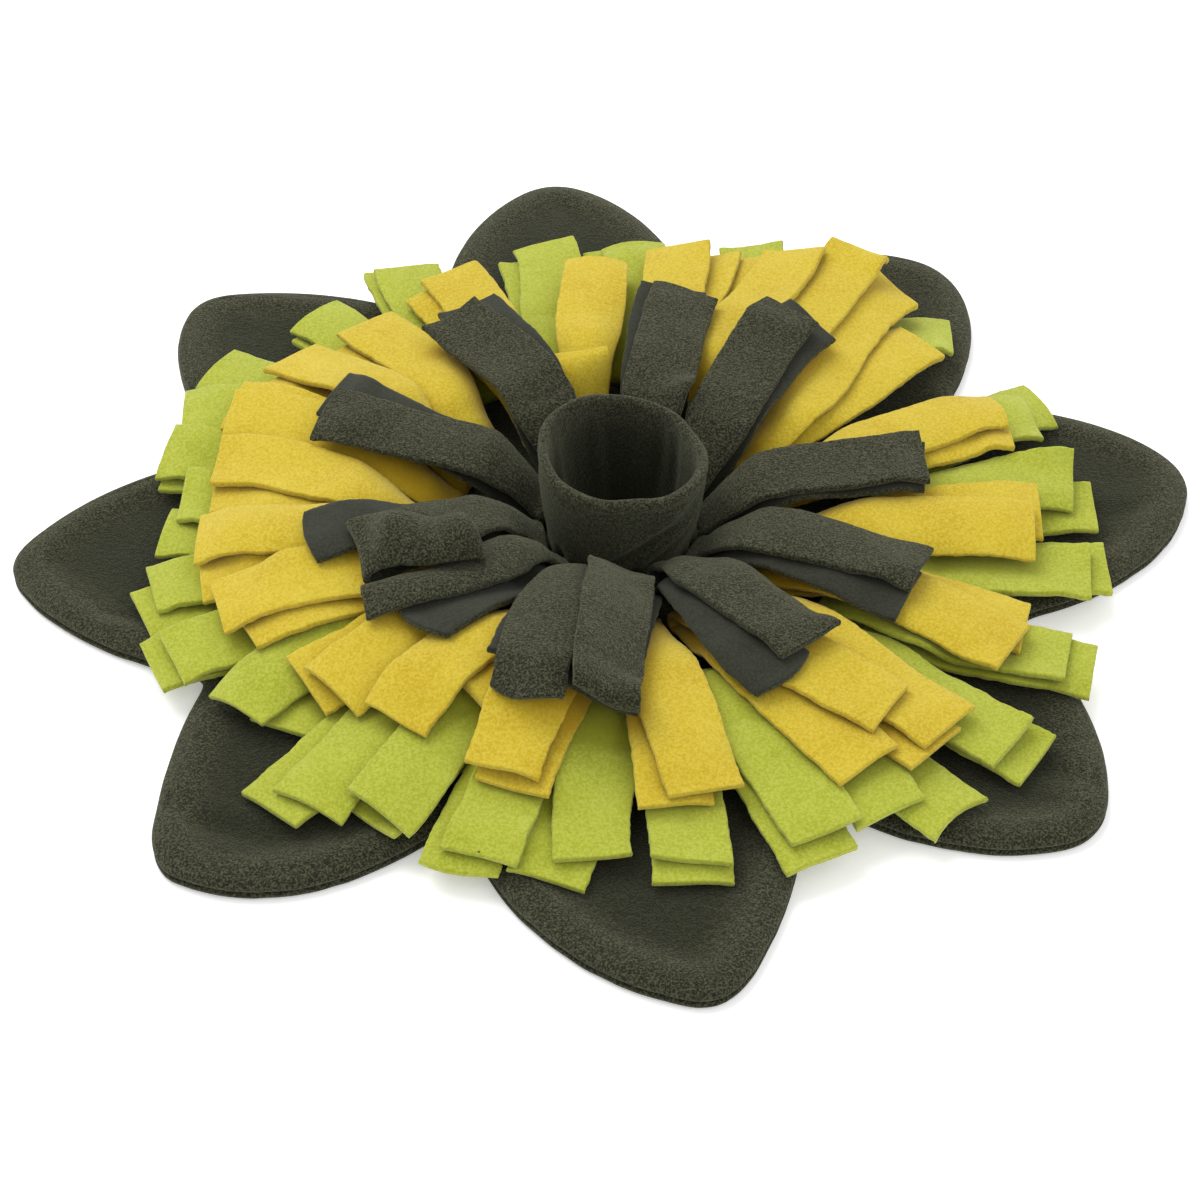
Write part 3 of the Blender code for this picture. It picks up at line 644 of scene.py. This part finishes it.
def crease(x, y, line, width, depth):
    """A soft trough along a polyline given in plan."""
    best = np.full(x.shape, 1e9)
    fade = np.zeros(x.shape)
    pts = np.array(line, float)
    total = len(pts) - 1
    for k in range(total):
        a, b = pts[k], pts[k + 1]
        ab = b - a
        t = np.clip(((x - a[0]) * ab[0] + (y - a[1]) * ab[1]) / (ab @ ab), 0, 1)
        d = np.hypot(x - a[0] - t * ab[0], y - a[1] - t * ab[1])
        along = (k + t) / total
        near = d < best
        best = np.where(near, d, best)
        fade = np.where(near, np.sin(np.pi * np.clip(along, 0.02, 0.98)) ** 0.6, fade)
    g = np.exp(-(best / width) ** 2)
    lip = np.exp(-((best - 1.8 * width) / width) ** 2)
    return depth * fade * (-g + 0.45 * lip)


PETAL_CREASES = (
    # points in plan, width, depth
    (((-180, -118), (-168, -140), (-148, -158), (-122, -166), (-96, -160)), 5.0, 1.5),
    (((-214, -34), (-196, -48), (-172, -52)), 4.0, 0.8),
    (((60, -176), (72, -196), (76, -216)), 4.5, 0.8),
    (((150, -128), (176, -138), (192, -128)), 5.0, 0.9),
    (((-150, 150), (-168, 158), (-176, 146)), 5.0, 0.8),
    (((-18, 200), (-14, 222), (-20, 236)), 4.5, 0.7),
    (((192, 10), (214, 16), (228, 24)), 5.0, 0.7),
)


def build_base():
    q, out, run = edge_line(960)
    count = len(q)
    tree = KDTree(count)
    for k, p in enumerate(q):
        tree.insert(Vector((p[0], p[1], 0.0)), k)
    tree.balance()
    rings_xy, rings_z, rim_gap = [], [], {}
    pucker = smooth_noise(run / 7.0, 11) + 0.5 * smooth_noise(run / 3.6, 12)
    wave = smooth_noise(run / 34.0, 13)
    for inset, z in EDGE:
        rings_xy.append(q - out * (inset + 0.22 * pucker * math.exp(-inset / 4))[:, None])
        lift = 0.18 * pucker * math.exp(-((z - 3.3) / 4) ** 2) if z > 0 else 0.0
        rings_z.append(np.full(count, z) + (lift if z > 0.3 else 0.0)
                       + (0.35 * wave * (z / 8.0) if z > 0.3 else 0.0))
    start = rings_xy[-1]
    shares = 1.0 - np.linspace(0, 1, 74)[1:-1] ** 1.35
    rr = np.linalg.norm(start, axis=1)
    for share in shares:
        # rings grow round towards the middle
        even = 175.0 * ease((1 - share) * 1.15) + rr * (1 - ease((1 - share) * 1.15))
        p = start / rr[:, None] * (share * even)[:, None]
        rings_xy.append(p)
        rings_z.append(None)
    for k in range(len(EDGE), len(rings_xy)):
        p = rings_xy[k]
        d = np.array([tree.find(Vector((a, b, 0.0)))[2] for a, b in p])
        rim_gap[k] = d
        z = pad_height(d)
        x, y = p[:, 0], p[:, 1]
        z = z + 0.18 * pucker * np.exp(-d / 5.0) + 0.35 * wave * np.exp(-d / 12.0)
        for i in range(count):
            v = Vector((x[i] / 42.0, y[i] / 42.0, 0.3))
            w = Vector((x[i] / 15.0, y[i] / 15.0, 4.3))
            z[i] += 0.75 * noise.noise(v) + 0.22 * noise.noise(w)
        for line, width, depth in PETAL_CREASES:
            z = z + crease(x, y, line, width, depth)
        rings_z[k] = z
    verts, faces = [], []
    for p, z in zip(rings_xy, rings_z):
        verts += [(a, b, c) for (a, b), c in zip(p, z)]
    for k in range(len(rings_xy) - 1):
        a, b = k * count, (k + 1) * count
        for i in range(count):
            j = (i + 1) % count
            faces.append((a + i, a + j, b + j, b + i))
    verts.append((0.0, 0.0, 8.0))
    top, last = len(verts) - 1, (len(rings_xy) - 1) * count
    for i in range(count):
        faces.append((last + i, last + (i + 1) % count, top))
    # the underside: the lower layer, flat on the floor in from its rim
    low_rings = []
    first = rings_xy[0]
    fr = np.linalg.norm(first, axis=1)
    for share in (0.97, 0.9, 0.8, 0.65, 0.45, 0.2):
        low_rings.append(len(verts))
        for i in range(count):
            x, y = first[i] * share
            verts.append((x, y, 0.0))
    prev = 0
    for base in low_rings:
        for i in range(count):
            j = (i + 1) % count
            faces.append((prev + j, prev + i, base + i, base + j))
        prev = base
    verts.append((0.0, 0.0, 0.0))
    for i in range(count):
        faces.append((prev + (i + 1) % count, prev + i, len(verts) - 1))
    obj = new_object("base_pad", verts, faces, [MATS["charcoal"]])
    # painted shade, with pressed nap: the padded top is darker away from its rolled rim, which catches more
    # light
    pressed_and_shaded = np.zeros(len(verts))
    for k in range(len(EDGE), len(rings_xy)):
        pressed_and_shaded[k * count:(k + 1) * count] = ease((rim_gap[k] - 10.0) / 14.0)
    pressed_and_shaded[0:count] = 0.0
    field = obj.data.attributes.new("pressed_and_shaded", "FLOAT", "POINT")
    field.data.foreach_set("value", pressed_and_shaded)
    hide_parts("base")
    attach(obj, "root")
    top_xy = np.array(rings_xy[len(EDGE) - 1:])
    top_z = np.array(rings_z[len(EDGE) - 1:])
    return obj, top_xy, top_z


# ------------------------------------------------------------ the cup
CUP_LINE = (
    # radius height: outer foot, over the rolled rim, down to the inner foot
    (25.4, 0.6), (26.6, 2.0), (27.6, 4.6), (28.6, 8.0), (29.8, 12.5), (30.9, 17.5),
    (31.7, 23.0), (32.2, 29.0), (32.5, 35.0), (32.6, 39.0), (32.5, 40.9), (33.1, 42.2),
    (33.6, 43.9), (33.4, 45.7), (32.5, 47.1), (31.2, 47.6), (29.9, 47.2), (29.0, 46.0),
    (28.6, 44.2), (28.6, 41.0), (28.4, 36.0), (28.0, 29.0), (27.4, 21.0), (26.3, 13.5),
    (25.0, 7.0), (24.0, 2.4), (23.9, 0.6),
)


def build_cup():
    around = 176
    line = np.array(CUP_LINE)
    step = np.concatenate([[0], np.cumsum(np.linalg.norm(np.diff(line, axis=0), axis=1))])
    s = np.arange(0, step[-1], 1.15)
    fine = np.stack([np.interp(s, step, line[:, 0]), np.interp(s, step, line[:, 1])], 1)
    for _ in range(2):
        fine[1:-1] = 0.5 * fine[1:-1] + 0.25 * (fine[:-2] + fine[2:])
    az = np.arange(around) * 360.0 / around
    a = np.radians(az)
    top = 47.6
    rim = int(np.argmax(fine[:, 1]))
    gathers = np.zeros(around)
    for k, amp, ph in ((11, 0.5, 0.4), (17, 0.7, 2.1), (23, 0.4, 4.0), (7, 0.5, 1.0)):
        gathers += amp * np.cos(k * a + ph)
    folds = 0.6 * np.cos(3 * a + 1.0) + 0.45 * np.cos(5 * a + 2.4) + 0.35 * np.cos(8 * a + 0.3)
    waves = 0.5 * np.cos(2 * a + 0.7) + 0.35 * np.cos(5 * a + 1.9) + 0.25 * np.cos(9 * a)
    sway = 0.8 * np.cos(3 * a + 0.9) + 0.5 * np.cos(4 * a + 2.2) + 0.3 * np.cos(7 * a)
    verts = []
    for k, (r, h) in enumerate(fine):
        up = (h / top) ** 2
        outer = k <= rim
        ring_r = np.full(around, r)
        ring_h = np.full(around, h)
        oval = 1.0 + CUP_OVAL * up * np.cos(2 * (a - math.radians(CUP_OVAL_AZ)))
        if outer:
            ring_r += (1.2 + 1.5 * gathers) * math.exp(-((h - 2.5) / 6.5) ** 2)
            ring_r += 0.6 * folds * math.sin(math.pi * min(h / 42.0, 1.0))
            # the diagonal pull across the front, lower left to upper right
            for a0, h0, slope, width, depth in ((250.0, 9.0, 0.34, 3.6, 2.3),
                                                (278.0, 4.0, 0.40, 2.8, 1.3),
                                                (212.0, 20.0, -0.26, 4.0, 0.8)):
                da = (az - a0 + 180) % 360 - 180
                off = h - (h0 + slope * da)
                span = np.exp(-((da - 28) / 38.0) ** 2)
                ring_r -= depth * span * np.exp(-(off / width) ** 2)
                ring_r += 0.7 * depth * span * np.exp(-((off - 1.7 * width) / width) ** 2)
        else:
            deep = math.sin(math.pi * min(h / 46.0, 1.0))
            ring_r += (1.2 * folds + 0.4 * gathers) * deep
        # the stitched line below the rolled rim
        if outer and 39.0 < h < 43.0:
            ring_r -= 0.45 * math.exp(-((h - 40.9) / 0.7) ** 2)
        ring_h = ring_h - CUP_LEAN * up * np.cos(a - math.radians(CUP_LEAN_AZ))
        ring_h += waves * up * 0.9
        ring_r += sway * up
        for i in range(around):
            v = Vector((math.cos(a[i]) * 2.2, math.sin(a[i]) * 2.2, h / 14.0 + (0 if outer else 9)))
            ring_r[i] += 0.35 * noise.noise(v)
        x = np.cos(a) * ring_r * oval
        y = np.sin(a) * ring_r * oval
        verts += [(CUP_AT[0] + x[i], CUP_AT[1] + y[i], CROWN_MIDDLE + ring_h[i])
                  for i in range(around)]
    m = len(fine)
    faces = []
    for k in range(m):
        b0, b1 = k * around, ((k + 1) % m) * around
        for i in range(around):
            j = (i + 1) % around
            faces.append((b0 + i, b0 + j, b1 + j, b1 + i))
    obj = new_object("cup_wall", verts, faces, [MATS["charcoal"]])
    # painted shade: inside, the wall darker further down from the rim; outside, darker below the stitched
    # line
    pressed_and_shaded = np.zeros((m, around))
    for k in range(m):
        if k > rim:
            pressed_and_shaded[k] = ease((44.0 - fine[k, 1]) / 16.0)
        else:
            pressed_and_shaded[k] = 0.45 * ease((41.0 - fine[k, 1]) / 6.0)
    field = obj.data.attributes.new("pressed_and_shaded", "FLOAT", "POINT")
    field.data.foreach_set("value", pressed_and_shaded.ravel())
    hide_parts("cup")
    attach(obj, "root")
    return obj


# ------------------------------------------------------------ the strips, fine
COLUMNS = np.array([-0.965, -0.86, -0.64, -0.34, 0.0, 0.34, 0.64, 0.86, 0.965])
NAP = 1.3              # half the thickness of the fleece with its nap
STEP = 1.7             # length of one row of a strip


def cubic(x, xs, ys):
    """A smooth curve through the rows of a rough tail, without overshoot."""
    d = np.diff(ys) / np.diff(xs)
    m = np.zeros_like(ys)
    m[1:-1] = np.where(d[:-1] * d[1:] > 0, 2 * d[:-1] * d[1:] / (d[:-1] + d[1:] + 1e-12), 0.0)
    m[0], m[-1] = d[0], d[-1]
    k = np.clip(np.searchsorted(xs, x) - 1, 0, len(xs) - 2)
    h = xs[k + 1] - xs[k]
    t = (x - xs[k]) / h
    return ((2 * t ** 3 - 3 * t ** 2 + 1) * ys[k] + (t ** 3 - 2 * t ** 2 + t) * h * m[k]
            + (-2 * t ** 3 + 3 * t ** 2) * ys[k + 1] + (t ** 3 - t ** 2) * h * m[k + 1])


def spread_max(g, ru, rv):
    out = g.copy()
    for du in range(-ru, ru + 1):
        for dv in range(-rv, rv + 1):
            src = np.roll(np.roll(g, du, 0), dv, 1)
            if du > 0:
                src[:du] = 0
            elif du < 0:
                src[du:] = 0
            if dv > 0:
                src[:, :dv] = 0
            elif dv < 0:
                src[:, dv:] = 0
            out = np.maximum(out, src)
    return out


def blur(g, ru, rv):
    for axis, r in ((0, ru), (1, rv)):
        w = np.hanning(2 * r + 3)[1:-1]
        w /= w.sum()
        pad = [(r, r) if a == axis else (0, 0) for a in (0, 1)]
        p = np.pad(g, pad, mode="edge")
        g = sum(w[k] * (p[k:k + g.shape[0]] if axis == 0 else p[:, k:k + g.shape[1]])
                for k in range(2 * r + 1))
    return g


class FineLeg:
    """A tail on its rough form, with camber, ripples and its own end."""

    def __init__(self, leg, seed, pinch, name, key, hold_start=True):
        tip = TIPS.get((name, key))
        if name in GATHERED and key != "back":
            leg.root_w, leg.spread = GATHERED[name]
        rows = max(8, int(round(leg.length / STEP)))
        s = np.linspace(0.0, leg.length, rows + 1)
        mid, way, side, width = leg.plan(s)
        v = COLUMNS
        r = np.random.RandomState(seed)
        left = cubic(s, leg.s, leg.z[:, 0])
        right = cubic(s, leg.s, leg.z[:, 1])
        half = width / 2 + 0.45 * smooth_noise(s / 9.0, seed + 1)
        shift = 0.5 * smooth_noise(s / 26.0, seed + 2)
        shift = shift + SWAY.get(name, 0.0) * np.clip(np.sin(np.pi * s / leg.length), 0, 1) ** 1.5
        if (name, key) in NARROWED:
            share, over_len, stays = NARROWED[name, key]
            less = (1 - share) * ease(1.0 - (leg.length - s) / over_len)
            shift = shift + stays * half * less
            half = half * (1 - less)
        xy = (mid[:, None, :] + side[:, None, :]
              * (v[None, :, None] * half[:, None, None] + shift[:, None, None]))
        k = (v[None, :] + 1) / 2
        z = right[:, None] * (1 - k) + left[:, None] * k
        t = (s / leg.length)[:, None]
        # gathered at the sewn root: the cloth crowns there
        if pinch:
            missing = np.clip(1.0 - (width / STRIP_WIDTH) ** 2, 0, 1) ** 0.5
            crown = 3.4 if name in ("grey_08", "grey_09") else 5.2
            z = z + (crown * missing[:, None]) * (1 - v[None, :] ** 2) * ease(0.35 + s / 14.0)[:, None]
        z = z + r.uniform(-0.5, 1.7) * (1 - v[None, :] ** 2) * ease(t * 2)
        # long ripples, stronger at the edges
        for sign in (-1.0, 1.0):
            ripple = smooth_noise(s / r.uniform(13, 21), seed + 5 + int(sign))
            z = z + (1.25 * ripple * ease(s / 22.0))[:, None] * np.clip(sign * v, 0, 1)[None, :] ** 1.6
        z = z + (0.75 * smooth_noise(s / 15.0, seed + 9) * ease(s / 18.0))[:, None]
        rise, camber = ARCHED.get((name, key), (0.0, 0.0))
        z = z + rise * np.clip(np.sin(np.pi * t), 0, 1) ** 0.8 + camber * (1 - v[None, :] ** 2) * ease(t * 3)
        # the end
        skew = r.uniform(-1.8, 1.8)
        reach = ease((t - 0.72) / 0.28)
        bow = 0.0
        droop = r.uniform(0.0, 2.2)
        cw = ccw = 0.0
        span = 16.0
        if tip:
            cw, ccw, span, bow = tip
            skew *= 0.3
        else:
            cw, ccw = r.uniform(-1.6, 2.4, 2)
        push = (skew * v[None, :] + bow * (1 - 2 * v[None, :] ** 2) * 0.5) * reach
        xy = xy + way[:, None, :] * push[:, :, None]
        near = ease(1.0 - (leg.length - s) / span)[:, None]
        z = z - droop * near ** 2
        z = z + near ** 1.5 * (ccw * np.clip(v[None, :], 0, 1) ** 2 + cw * np.clip(-v[None, :], 0, 1) ** 2)
        self.roll = ROLLED.get((name, key))
        if self.roll:
            tall = 2 * self.roll[0] + (self.roll[1] - self.roll[0]) * (v[None, :] + 1)
            z = z + tall * ease(1.0 - (leg.length - s) / 14.0)[:, None]
        self.leg, self.s, self.way = leg, s, way
        self.xy, self.z = xy, z
        self.hold = hold_start

    def lay(self, pile, air=0.3):
        du = np.maximum(np.linalg.norm(np.gradient(self.xy, axis=0), axis=2), 0.3)
        for _ in range(3):
            lean = np.minimum(np.sqrt(1 + (np.gradient(self.z, axis=0) / du) ** 2), 2.2)
            floor = pile.look_round(self.xy[..., 0], self.xy[..., 1])
            need = np.clip(floor + air + NAP * lean - self.z, 0.0, 9.0)
            if self.hold:
                need *= ease(self.s / 5.0)[:, None]
            if need.max() < 0.05:
                break
            self.z = self.z + blur(spread_max(need, 4, 2), 4, 2)
        pile.add_grid(self.xy, self.z, NAP)
        if self.roll:
            self.roll_under()

    def roll_under(self):
        """Carry the cloth on past its end, round and down beneath itself."""
        cw, ccw, turn = self.roll
        r = cw + (ccw - cw) * (COLUMNS + 1) / 2
        end_xy, end_z, way = self.xy[-1], self.z[-1], self.way[-1]
        steps = max(4, int(math.radians(turn) * max(cw, ccw) / 1.3))
        xy, z = [], []
        for k in range(1, steps + 1):
            a = math.radians(turn) * k / steps
            xy.append(end_xy + way[None] * (r * math.sin(a))[:, None])
            z.append(end_z - r * (1 - math.cos(a)))
        self.xy = np.concatenate([self.xy, np.array(xy)])
        self.z = np.concatenate([self.z, np.array(z)])


def fine_fold(a_xy, a_z, b_xy, b_z, outward, steps):
    """Rows round a fold from row a to row b, bulging outward."""
    rows_xy, rows_z = [], []
    for k in range(1, steps):
        f = k / steps
        a = math.pi * f
        w = (1 - math.cos(a)) / 2
        r = np.abs(b_z - a_z) / 2
        rows_xy.append(a_xy * (1 - w) + b_xy * w + outward[None] * (r * math.sin(a))[:, None])
        rows_z.append(a_z * (1 - w) + b_z * w)
    return rows_xy, rows_z


def strip_plan(row):
    name, root, under, over = row
    (cx, cy, root_r, root_w, spread, fold, low, high,
     crest_at) = RINGS[name.split("_")[0]]
    root_r, fold = LOOPED.get(name, (root_r, fold))
    out = toward(root)
    start = np.array([cx, cy]) + out * root_r
    z0 = CROWN_MIDDLE + ROOT_AIR + CLOTH / 2
    legs = {}
    for key, tail, crest, z in (("under", under, low, z0),
                                ("over", over, high, z0 + fold)):
        az, reach, turn, end, roll = tail
        crest = max(crest, end, z)
        wide, at = spread, crest_at
        if key == "over":
            wide, at = SHORT.get(name, (wide, at))
        legs[key] = Leg(start, out, polar(az, reach), toward(az + turn), root_w,
                        z, crest, end, roll, at, LEG_STEPS, wide)
    return legs


def turned_back(name, leg):
    _, way, az, reach, turn, end, fold = TURNED_BACK[name]
    start = leg.xy[-1].mean(0)
    z0 = leg.z[-1].mean() + way * fold
    return Leg(start, -leg.way[-1], polar(az, reach), toward(az + turn),
               STRIP_WIDTH, z0, max(z0, end), end, 0.0, 0.5, 2)


def lay_rough(name, key, legs, pile):
    tail = TURNED_BACK.get(name, ("",))[0]
    leg = legs[key]
    leg.lay(pile)
    if key == tail:
        back = turned_back(name, leg)
        back.lay(pile)
        legs["back"] = back
        a, b = leg.z[-1], back.z[0][::-1]
        f_xy, f_z = fold_rows(leg.xy[-1], a, b, leg.way[-1], 3)
        xy = np.array([leg.xy[-1]] + f_xy + [back.xy[0][::-1]])
        z = np.array([a] + f_z + [b])
        pile.add(xy.reshape(-1, 2), z.reshape(-1), ladder(len(z) - 1), CLOTH / 2)


def build_strips(base_xy, base_z):
    rough = Pile()
    grid = np.stack([base_xy[:, :, 0], base_xy[:, :, 1]], 2)
    # close the ring of columns, then mark the padded top
    ring = np.concatenate([grid, grid[:, :1]], 1)
    heights = np.concatenate([base_z, base_z[:, :1]], 1)
    rough.add_grid(ring, heights, 0.0)
    n = rough.n
    yy, xx = np.meshgrid(np.arange(n) - n / 2, np.arange(n) - n / 2)
    inner = np.hypot(xx, yy) < 30
    rough.top[inner] = np.maximum(rough.top[inner], CROWN_MIDDLE)
    coarse_floor = rough.top.copy()
    rough.top = np.where(rough.top > 0, np.minimum(rough.top, 8.4), rough.top)
    fine = Pile()
    fine.top = coarse_floor
    plans = {}
    rings = {}
    for ring_name in RING_ORDER:
        rows = [r for r in STRIPS if r[0].startswith(ring_name)]
        for r in rows:
            plans[r[0]] = strip_plan(r)
        rows.sort(key=lambda r: r[0] in LAID_LATE)
        rings[ring_name] = rows
        for key in ("under", "over"):
            for row in rows:
                lay_rough(row[0], key, plans[row[0]], rough)
    laid = []
    for ring_name in RING_ORDER:
        rows = rings[ring_name]
        fines = {r[0]: {} for r in rows}
        for key in ("under", "over"):
            for row in rows:
                name = row[0]
                seed = 100 * (STRIPS.index(row) + 1) + (50 if key == "over" else 0)
                leg = FineLeg(plans[name][key], seed, True, name, key)
                leg.lay(fine)
                fines[name][key] = leg
                if TURNED_BACK.get(name, ("",))[0] == key:
                    back = FineLeg(plans[name]["back"], seed + 25, False, name, "back")
                    # the turned-back end starts right above the tail's end
                    back.lay(fine)
                    fines[name]["back"] = back
        laid += [(row[0], ring_name, fines[row[0]]) for row in rows]
    cover = covered(fine)
    for name, ring_name, legs in laid:
        build_strip(name, ring_name, legs, cover)


def covered(pile):
    """The height of the cloth round each place: the mean of the pile's top."""
    h = np.maximum(pile.top, 0.0)
    for axis in (0, 1):
        total = np.cumsum(h, axis=axis)
        ahead = np.roll(total, -6, axis)
        behind = np.roll(total, 7, axis)
        h = np.clip((ahead - behind) / 13.0, 0.0, 60.0)
    return h


def build_strip(name, ring_name, legs, cover):
    under, over = legs["under"], legs["over"]
    rows_xy = list(under.xy[::-1])
    rows_z = list(under.z[::-1])
    f_xy, f_z = fine_fold(under.xy[0], under.z[0], over.xy[0], over.z[0], -under.way[0], 6)
    rows_xy += f_xy + list(over.xy)
    rows_z += f_z + list(over.z)
    if "back" in legs:
        back = legs["back"]
        leg = legs[TURNED_BACK[name][0]]
        f_xy, f_z = fine_fold(leg.xy[-1], leg.z[-1], back.xy[0][::-1], back.z[0][::-1],
                              leg.way[-1], 7)
        more_xy = f_xy + [p[::-1] for p in back.xy]
        more_z = f_z + [p[::-1] for p in back.z]
        if leg is over:
            rows_xy += more_xy
            rows_z += more_z
        else:
            rows_xy = more_xy[::-1] + rows_xy
            rows_z = more_z[::-1] + rows_z
    xy, z = np.array(rows_xy), np.array(rows_z)
    flip = None
    if "back" in legs and ring_name == "grey":
        flip = len(rows_z) - len(legs["back"].z) - 6
    obj = band("strip_" + name, np.concatenate([xy, z[:, :, None]], 2),
               [MATS[m] for m in FACES[ring_name]], hash_name(name), flip)
    # painted shade: cloth that lies deep between its neighbours is painted darker and tinted, more so the
    # deeper it lies
    co = np.zeros(len(obj.data.vertices) * 3)
    obj.data.vertices.foreach_get("co", co)
    co = co.reshape(-1, 3) / MM
    i = np.clip((co[:, 0] + Pile.half).astype(int), 0, cover.shape[0] - 1)
    j = np.clip((co[:, 1] + Pile.half).astype(int), 0, cover.shape[0] - 1)
    depth = ease((cover[i, j] - co[:, 2] + 1.0) / 12.0)
    field = obj.data.attributes.new("pressed_and_shaded", "FLOAT", "POINT")
    field.data.foreach_set("value", depth)
    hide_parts(name)
    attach(obj, "root")


def band(name, mid, mats, seed, flip):
    """A strip of fleece round its middle surface: two faces, soft cut edges."""
    d_row = np.gradient(mid, axis=0)
    d_col = np.gradient(mid, axis=1)
    normal = np.cross(d_row, d_col)
    normal /= np.maximum(np.linalg.norm(normal, axis=2), 1e-9)[:, :, None]
    for _ in range(2):
        normal[1:-1] = normal[1:-1] * 0.5 + 0.25 * (normal[:-2] + normal[2:])
        normal /= np.linalg.norm(normal, axis=2)[:, :, None]
    row_way = d_row / np.maximum(np.linalg.norm(d_row, axis=2), 1e-9)[:, :, None]
    col_way = d_col / np.maximum(np.linalg.norm(d_col, axis=2), 1e-9)[:, :, None]
    # the cut ends: three short rows that round them off
    def end_rows(k, sign):
        out = []
        for reach, full in ((0.55, 1.0), (0.95, 0.86), (1.1, 0.45)):
            out.append((mid[k] + sign * row_way[k] * reach, normal[k], col_way[k], full))
        return out
    rows = [(mid[i], normal[i], col_way[i], 1.0) for i in range(len(mid))]
    rows = end_rows(0, -1.0)[::-1] + rows + end_rows(-1, 1.0)
    r = np.random.RandomState(seed)
    nr = len(rows)
    ragged = [0.26 * smooth_noise(np.arange(nr) / 1.7, seed + k)
              + 0.16 * r.uniform(-1, 1, nr) for k in (31, 32)]
    nc = mid.shape[1]
    loop = 2 * nc + 8
    verts = np.zeros((nr, loop, 3))
    for i, (p, n, c, full) in enumerate(rows):
        h = NAP * full
        verts[i, :nc] = p + n * h
        verts[i, nc + 4:2 * nc + 4] = (p - n * h)[::-1]
        right, left = p[0] - c[0] * ragged[0][i], p[-1] + c[-1] * ragged[1][i]
        for k, (u, v) in enumerate(((0.42, 0.88), (0.62, 0.40), (0.62, -0.40), (0.42, -0.88))):
            verts[i, nc + k] = left + c[-1] * u + n[-1] * h * v
            verts[i, 2 * nc + 4 + k] = right - c[0] * u - n[0] * h * v
    faces, index = [], []
    for i in range(nr - 1):
        a, b = i * loop, (i + 1) * loop
        for j in range(loop):
            k = (j + 1) % loop
            faces.append((a + j, b + j, b + k, a + k))
            inner = nc + 3 <= j < 2 * nc + 4
            if flip is not None and i > flip:
                inner = j < nc
            index.append(1 if inner else 0)
    for i, turn in ((0, 1), (nr - 1, -1)):
        a = i * loop
        around = ([2 * nc + 7] + list(range(0, nc)) + [nc]
                  ), ([2 * nc + 4] + list(range(2 * nc + 3, nc + 3, -1)) + [nc + 3])
        top, low = around
        for j in range(len(top) - 1):
            f = (a + top[j], a + top[j + 1], a + low[j + 1], a + low[j])
            faces.append(f[::turn])
            index.append(0)
        side = ((2 * nc + 7, 2 * nc + 4, 2 * nc + 5, 2 * nc + 6), (nc, nc + 1, nc + 2, nc + 3))
        faces.append(tuple(a + v for v in side[0])[::turn])
        faces.append(tuple(a + v for v in side[1])[::turn])
        index += [0, 0]
    obj = new_object(name, verts.reshape(-1, 3), faces, mats)
    obj.data.polygons.foreach_set("material_index", index)
    roughen(obj, seed)
    return obj


def hash_name(name):
    return sum((k + 1) * ord(c) for k, c in enumerate(name)) % 997


def roughen(obj, seed):
    """Fleece is never quite even: move the skin in and out by a hair."""
    mesh = obj.data
    n = len(mesh.vertices)
    co = np.zeros(n * 3)
    no = np.zeros(n * 3)
    mesh.vertices.foreach_get("co", co)
    mesh.vertices.foreach_get("normal", no)
    co, no = co.reshape(-1, 3), no.reshape(-1, 3)
    d = np.empty(n)
    for i in range(n):
        p = Vector(co[i] / 0.0035) + Vector((seed, 0, 0))
        d[i] = noise.noise(p) + 0.6 * noise.noise(p * 2.7)
    co += no * (d * 0.00016)[:, None]
    mesh.vertices.foreach_set("co", co.ravel())
    mesh.update()


# ------------------------------------------------------------ room, light, camera
def build_room():
    mesh = bpy.data.meshes.new("floor")
    mesh.from_pydata([(-40, -40, 0), (40, -40, 0), (40, 40, 0), (-40, 40, 0)], [], [(0, 1, 2, 3)])
    floor = bpy.data.objects.new("floor", mesh)
    bpy.context.scene.collection.objects.link(floor)
    mat = bpy.data.materials.new("floor_white")
    mat.use_nodes = True
    shader = mat.node_tree.nodes["Principled BSDF"]
    shader.inputs["Base Color"].default_value = (0.93, 0.93, 0.93, 1.0)
    shader.inputs["Roughness"].default_value = 0.9
    shader.inputs["Specular IOR Level"].default_value = 0.1
    shader.inputs["Emission Color"].default_value = (1.0, 1.0, 1.0, 1.0)
    shader.inputs["Emission Strength"].default_value = 0.27
    mesh.materials.append(mat)
    world = bpy.data.worlds.new("studio")
    bpy.context.scene.world = world
    world.use_nodes = True
    world.node_tree.nodes["Background"].inputs[0].default_value = (1.0, 1.0, 1.0, 1.0)
    world.node_tree.nodes["Background"].inputs[1].default_value = 0.80
    for name, place, power, size, aim in (
            ("key", (-0.9, 0.9, 2.1), 42.0, 1.8, (0, 0, 0)),
            ("fill", (1.3, -1.2, 1.6), 10.0, 1.8, (0, 0, 0))):
        lamp = bpy.data.lights.new(name, "AREA")
        lamp.energy = power
        lamp.size = size
        obj = bpy.data.objects.new(name, lamp)
        bpy.context.scene.collection.objects.link(obj)
        obj.location = place
        obj.rotation_euler = (Vector(aim) - Vector(place)).to_track_quat("-Z", "Y").to_euler()


def build_camera():
    cam = bpy.data.cameras.new("camera")
    obj = bpy.data.objects.new("camera", cam)
    bpy.context.scene.collection.objects.link(obj)
    tilt = math.radians(42.02)
    target = Vector((-0.00316, -0.03108, 0.0))
    obj.location = target + 1.1047 * Vector((0.0, -math.cos(tilt), math.sin(tilt)))
    obj.rotation_euler = (math.pi / 2 - tilt, 0.0, 0.0)
    cam.lens = 84.0
    cam.sensor_width = 36.0
    cam.clip_start = 0.02
    bpy.context.scene.camera = obj


bpy.context.scene.view_settings.view_transform = "Standard"
build_camera()
build_room()
base_obj, base_xy, base_z = build_base()
build_cup()
build_strips(base_xy, base_z)
